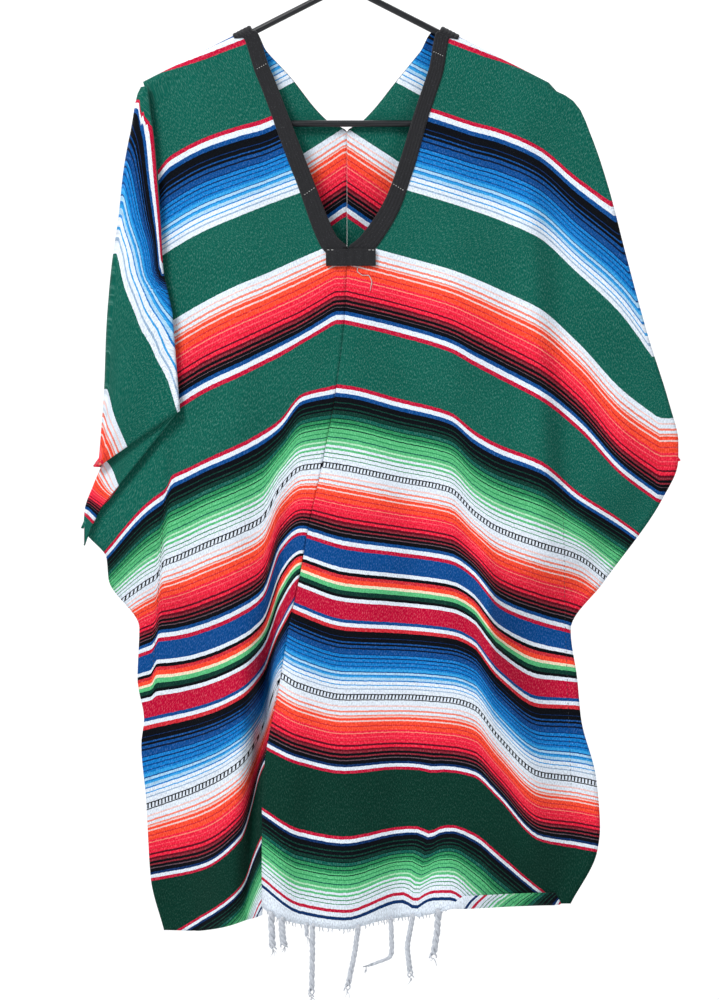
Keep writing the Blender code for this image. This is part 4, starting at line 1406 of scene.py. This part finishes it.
def seam_stitches(side, light, dark):
    """The overlocked edge where the left sleeve's layers show it, and the side's stitches."""
    toward = Vector((0, -1, 0))
    if side == "left":
        edges = bmesh.new()
        for name in ("front_left", "back_left"):
            for share in OVERLOCK[name]:
                foot = layer_point(name, corner_row(name), share) + toward * CLOTH
                dash(edges, foot + Vector((0, 0, 1.6)), foot + Vector((0, 0, 5.4)), 0.34, toward)
        piece = mesh_piece(edges, "serape_left_overlock", light)
    seam = bmesh.new()
    points = [front_point(picture_x(column), picture_z(row))
              for column, row in SIDE_STITCHES[side]]
    line = []
    for k in range(61):
        place = polyline(points, k / 60)
        line.append(front_point(place.x, place.z) + toward * (CLOTH / 2 + 0.1))
    stitch_line(seam, line, [toward] * len(line), 2.4, 5.0, 0.3)
    piece = mesh_piece(seam, "serape_" + side + "_seam", dark)


def hem_point(name, x):
    """A point on a quarter's hem at a distance from the middle."""
    last = len(ROWS[name]) - 1
    low, high = 0.0, 1.0
    for _ in range(30):
        share = (low + high) / 2
        if (panel_point(name, last, share).x - x) * SIDE[name] < 0:
            low = share
        else:
            high = share
    return panel_point(name, last, share)


def thread_tube(maker, points, radius, sides=5):
    """A thread along points, thinner at its end."""
    rings = []
    count = len(points)
    for k, place in enumerate(points):
        run = (points[min(k + 1, count - 1)] - points[max(k - 1, 0)]).normalized()
        side = run.cross(Vector((0.3, 1, 0.1))).normalized()
        other = run.cross(side)
        size = radius * (1 - 0.6 * smooth_step((k / (count - 1) - 0.8) / 0.2))
        ring = []
        for s in range(sides):
            angle = 2 * math.pi * s / sides
            ring.append(maker.verts.new(
                (place + (side * math.cos(angle) + other * math.sin(angle)) * size) * MM))
        rings.append(ring)
    for a, b in zip(rings, rings[1:]):
        for k in range(sides):
            j = (k + 1) % sides
            maker.faces.new((a[k], a[j], b[j], b[k]))
    maker.faces.new(list(reversed(rings[0])))
    maker.faces.new(rings[-1])


def strand(maker, root, thickness, runs, chance):
    """A strand of three yarns twisted round each other, frayed at its foot."""
    route = [root + Vector((0, 0, 3)), root]
    for dx, dy, dz in runs:
        route.append(route[-1] + Vector((dx, dy, dz)))
    steps = 26
    centre = [polyline(route, k / steps) for k in range(steps + 1)]
    for _ in range(3):
        centre = [centre[0]] + [(a + b * 2 + c) / 4 for a, b, c in
                                zip(centre, centre[1:], centre[2:])] + [centre[-1]]
    length = sum((b - a).length for a, b in zip(centre, centre[1:]))
    yarns = 3
    for yarn in range(yarns):
        phase = 2 * math.pi * yarn / yarns + chance.uniform(0, 1)
        points = []
        for k, place in enumerate(centre):
            share = k / steps
            angle = phase + 2 * math.pi * share * length / 17
            spread = thickness * (0.3 + 0.35 * max(share - 0.82, 0) / 0.18)
            points.append(place + Vector((math.cos(angle), math.sin(angle), 0)) * spread)
        thread_tube(maker, points, thickness * 0.3)
    for _ in range(4):
        foot = centre[-1]
        drift = Vector((chance.uniform(-4, 4), chance.uniform(-2, 2), chance.uniform(-9, -3)))
        thread_tube(maker, [foot, foot + drift * 0.5 + Vector((1, 0, 0)), foot + drift], 0.35, 4)


def fringe(name, node, quarters, x_start, x_end, strands, yarn):
    """The strands of one hem, with short cut ends of warp along it."""
    chance = random.Random(len(strands))
    maker = bmesh.new()
    for x, thickness, runs in strands:
        quarter = quarters[0] if x < 0 else quarters[-1]
        strand(maker, hem_point(quarter, x), thickness, runs, chance)
    x = x_start
    while x < x_end:
        quarter = quarters[0] if x < 0 else quarters[-1]
        root = hem_point(quarter, x)
        drop = Vector((chance.uniform(-1.5, 1.5), chance.uniform(-1, 1),
                       -chance.uniform(1.0, 4.0) - 1.0))
        bow = Vector((chance.uniform(-1, 1), 0, 0))
        thread_tube(maker, [root + Vector((0, 0, 1)), root + drop * 0.5 + bow, root + drop],
                    chance.uniform(0.35, 0.75), 4)
        x += chance.uniform(2.2, 6.5)
    piece = mesh_piece(maker, name, yarn)
    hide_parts(node)
    return piece


def tube(name, path, radius, closed, finish):
    """A round bar along a path in the hanger's plane, of (x, z) points."""
    sides = 20
    maker = bmesh.new()
    count = len(path)
    rings = []
    for k, (x, z) in enumerate(path):
        before = path[k - 1] if closed or k > 0 else path[k]
        after = path[(k + 1) % count] if closed or k < count - 1 else path[k]
        run = math.atan2(after[1] - before[1], after[0] - before[0])
        ring = []
        for side in range(sides):
            turn = 2 * math.pi * side / sides
            ring.append(maker.verts.new(Vector((
                x - math.sin(run) * radius * math.cos(turn),
                radius * math.sin(turn),
                z + math.cos(run) * radius * math.cos(turn))) * MM))
        rings.append(ring)
    pairs = list(zip(rings, rings[1:]))
    if closed:
        pairs.append((rings[-1], rings[0]))
    else:
        maker.faces.new(rings[0])
        maker.faces.new(list(reversed(rings[-1])))
    for a, b in pairs:
        for i in range(sides):
            j = (i + 1) % sides
            maker.faces.new((a[i], a[j], b[j], b[i]))
    bmesh.ops.recalc_face_normals(maker, faces=maker.faces)
    return mesh_piece(maker, name, finish)


def arc(cx, cz, radius, start, end, steps):
    """Points on an arc, angles in degrees from +X towards +Z."""
    return [(cx + radius * math.cos(math.radians(start + (end - start) * k / steps)),
             cz + radius * math.sin(math.radians(start + (end - start) * k / steps)))
            for k in range(steps + 1)]


def hanger(finish):
    """The hanger's loop of two arms and a bar, and the hook that stands on its top."""
    tilt = math.degrees(math.atan(ARM_SLOPE))
    arm_drop = ARM_TOP - BAR_DROP - ARM_SLOPE * ARM_REACH
    corner_r = arm_drop / (1 + 1 / math.cos(math.radians(tilt)) - ARM_SLOPE)
    right = arc(ARM_REACH - corner_r, BAR_DROP + corner_r, corner_r, 90 - tilt, -90, 24)
    left = [(-x, z) for x, z in reversed(right)]
    top = arc(0, ARM_TOP - APEX_R / math.cos(math.radians(tilt)), APEX_R, 90 + tilt,
              90 - tilt, 10)
    loop = tube("hanger_loop", top + right + left, TUBE_R, True, finish)
    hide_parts("hanger_frame")
    hook_r = HOOK_INNER_R + TUBE_R
    bend = arc(0, -HOOK_INNER_R, hook_r, HOOK_START, HOOK_END, 48)
    end_x, end_z = bend[-1]
    control_z = end_z - end_x / math.tan(math.radians(-HOOK_END))
    neck = []
    for k in range(1, 15):
        t = k / 14
        neck.append((end_x * (1 - t) ** 2,
                     end_z * (1 - t) ** 2 + 2 * control_z * t * (1 - t) + HOOK_FOOT * t * t))
    foot = top[5][1] + TUBE_R + GAP
    hook = tube("hanger_top_hook", bend + neck + [(0.0, foot)], TUBE_R, False, finish)
    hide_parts("hanger_hook")
    return loop


def stage_and_light():
    """A pale floor that curves up into a backdrop, and soft studio light."""
    floor = -1.55
    depth = 3.2
    radius = 1.4
    profile = [(-7.0, floor), (depth - radius, floor)]
    for k in range(1, 13):
        angle = math.radians(90 * k / 12)
        profile.append((depth - radius + radius * math.sin(angle),
                        floor + radius - radius * math.cos(angle)))
    profile.append((depth, 5.0))
    maker = bmesh.new()
    rows = [[maker.verts.new((x, y, z)) for x in (-7.0, 7.0)] for y, z in profile]
    for a, b in zip(rows, rows[1:]):
        maker.faces.new((a[0], a[1], b[1], b[0]))
    mesh = bpy.data.meshes.new("backdrop")
    maker.to_mesh(mesh)
    maker.free()
    mesh.shade_smooth()
    pale, nodes, _, shader = new_material("pale_paper", 0.9)
    shader.inputs["Base Color"].default_value = (0.9, 0.9, 0.9, 1.0)
    mesh.materials.append(pale)
    backdrop = bpy.data.objects.new("backdrop", mesh)
    bpy.context.scene.collection.objects.link(backdrop)
    world = bpy.data.worlds.new("studio")
    bpy.context.scene.world = world
    world.use_nodes = True
    world.node_tree.nodes["Background"].inputs["Color"].default_value = (0.93, 0.96, 1.0, 1.0)
    world.node_tree.nodes["Background"].inputs["Strength"].default_value = 0.36
    for name, place, size, watts in (("key", (-1.5, -2.0, 1.5), 1.1, 88.0),
                                     ("fill", (2.2, -2.6, 0.4), 1.8, 22.0),
                                     ("back_wash", (0.0, 1.2, 1.6), 3.0, 60.0)):
        lamp = bpy.data.lights.new(name, "AREA")
        lamp.shape = "SQUARE"
        lamp.size = size
        lamp.energy = watts
        light = bpy.data.objects.new(name, lamp)
        light.location = place
        target = Vector((0, 0.0, -0.55)) if name != "back_wash" else Vector((0, 3.2, -0.6))
        light.rotation_euler = (target - Vector(place)).to_track_quat("-Z", "Y").to_euler()
        bpy.context.scene.collection.objects.link(light)


def camera():
    """The photograph's view: square on, at its scale on the front of the cloth."""
    distance = 6.0
    plane = -0.03
    height = PICTURE[1] * PIXEL * MM
    lens = bpy.data.cameras.new("view")
    lens.sensor_fit = "VERTICAL"
    lens.sensor_height = 24.0
    lens.lens = lens.sensor_height * (distance + plane) / height
    eye = bpy.data.objects.new("view", lens)
    eye.location = (picture_x(PICTURE[0] / 2) * MM, -distance, picture_z(PICTURE[1] / 2) * MM)
    eye.rotation_euler = (math.pi / 2, 0.0, 0.0)
    bpy.context.scene.collection.objects.link(eye)
    bpy.context.scene.camera = eye


def main():
    cloth = cloth_material()
    tape = tape_material()
    white_thread = thread_material("light_thread", srgb(215, 215, 210), srgb(150, 150, 150))
    dark_thread = thread_material("dark_thread", srgb(40, 46, 52), srgb(14, 18, 22))
    yarn = thread_material("fringe_yarn", srgb(226, 230, 236), srgb(150, 156, 168))
    plastic = plastic_material()
    fringes = (
        fringe("front_fringe", "fringe_front", ("front_right",), -86.0, 112.0,
               FRONT_STRANDS, yarn),
        fringe("back_fringe", "fringe_back", ("back_left", "back_right"), -150.0, 170.0,
               BACK_STRANDS, yarn),
    )
    for side in ("left", "right"):
        piece = cloth_side(side, cloth)
        neck_tape(side, tape, white_thread)
        seam_stitches(side, white_thread, dark_thread)
    tape_block(tape, white_thread)
    hanger(plastic)
    stage_and_light()
    camera()
    bpy.context.scene.view_settings.view_transform = "Standard"


main()
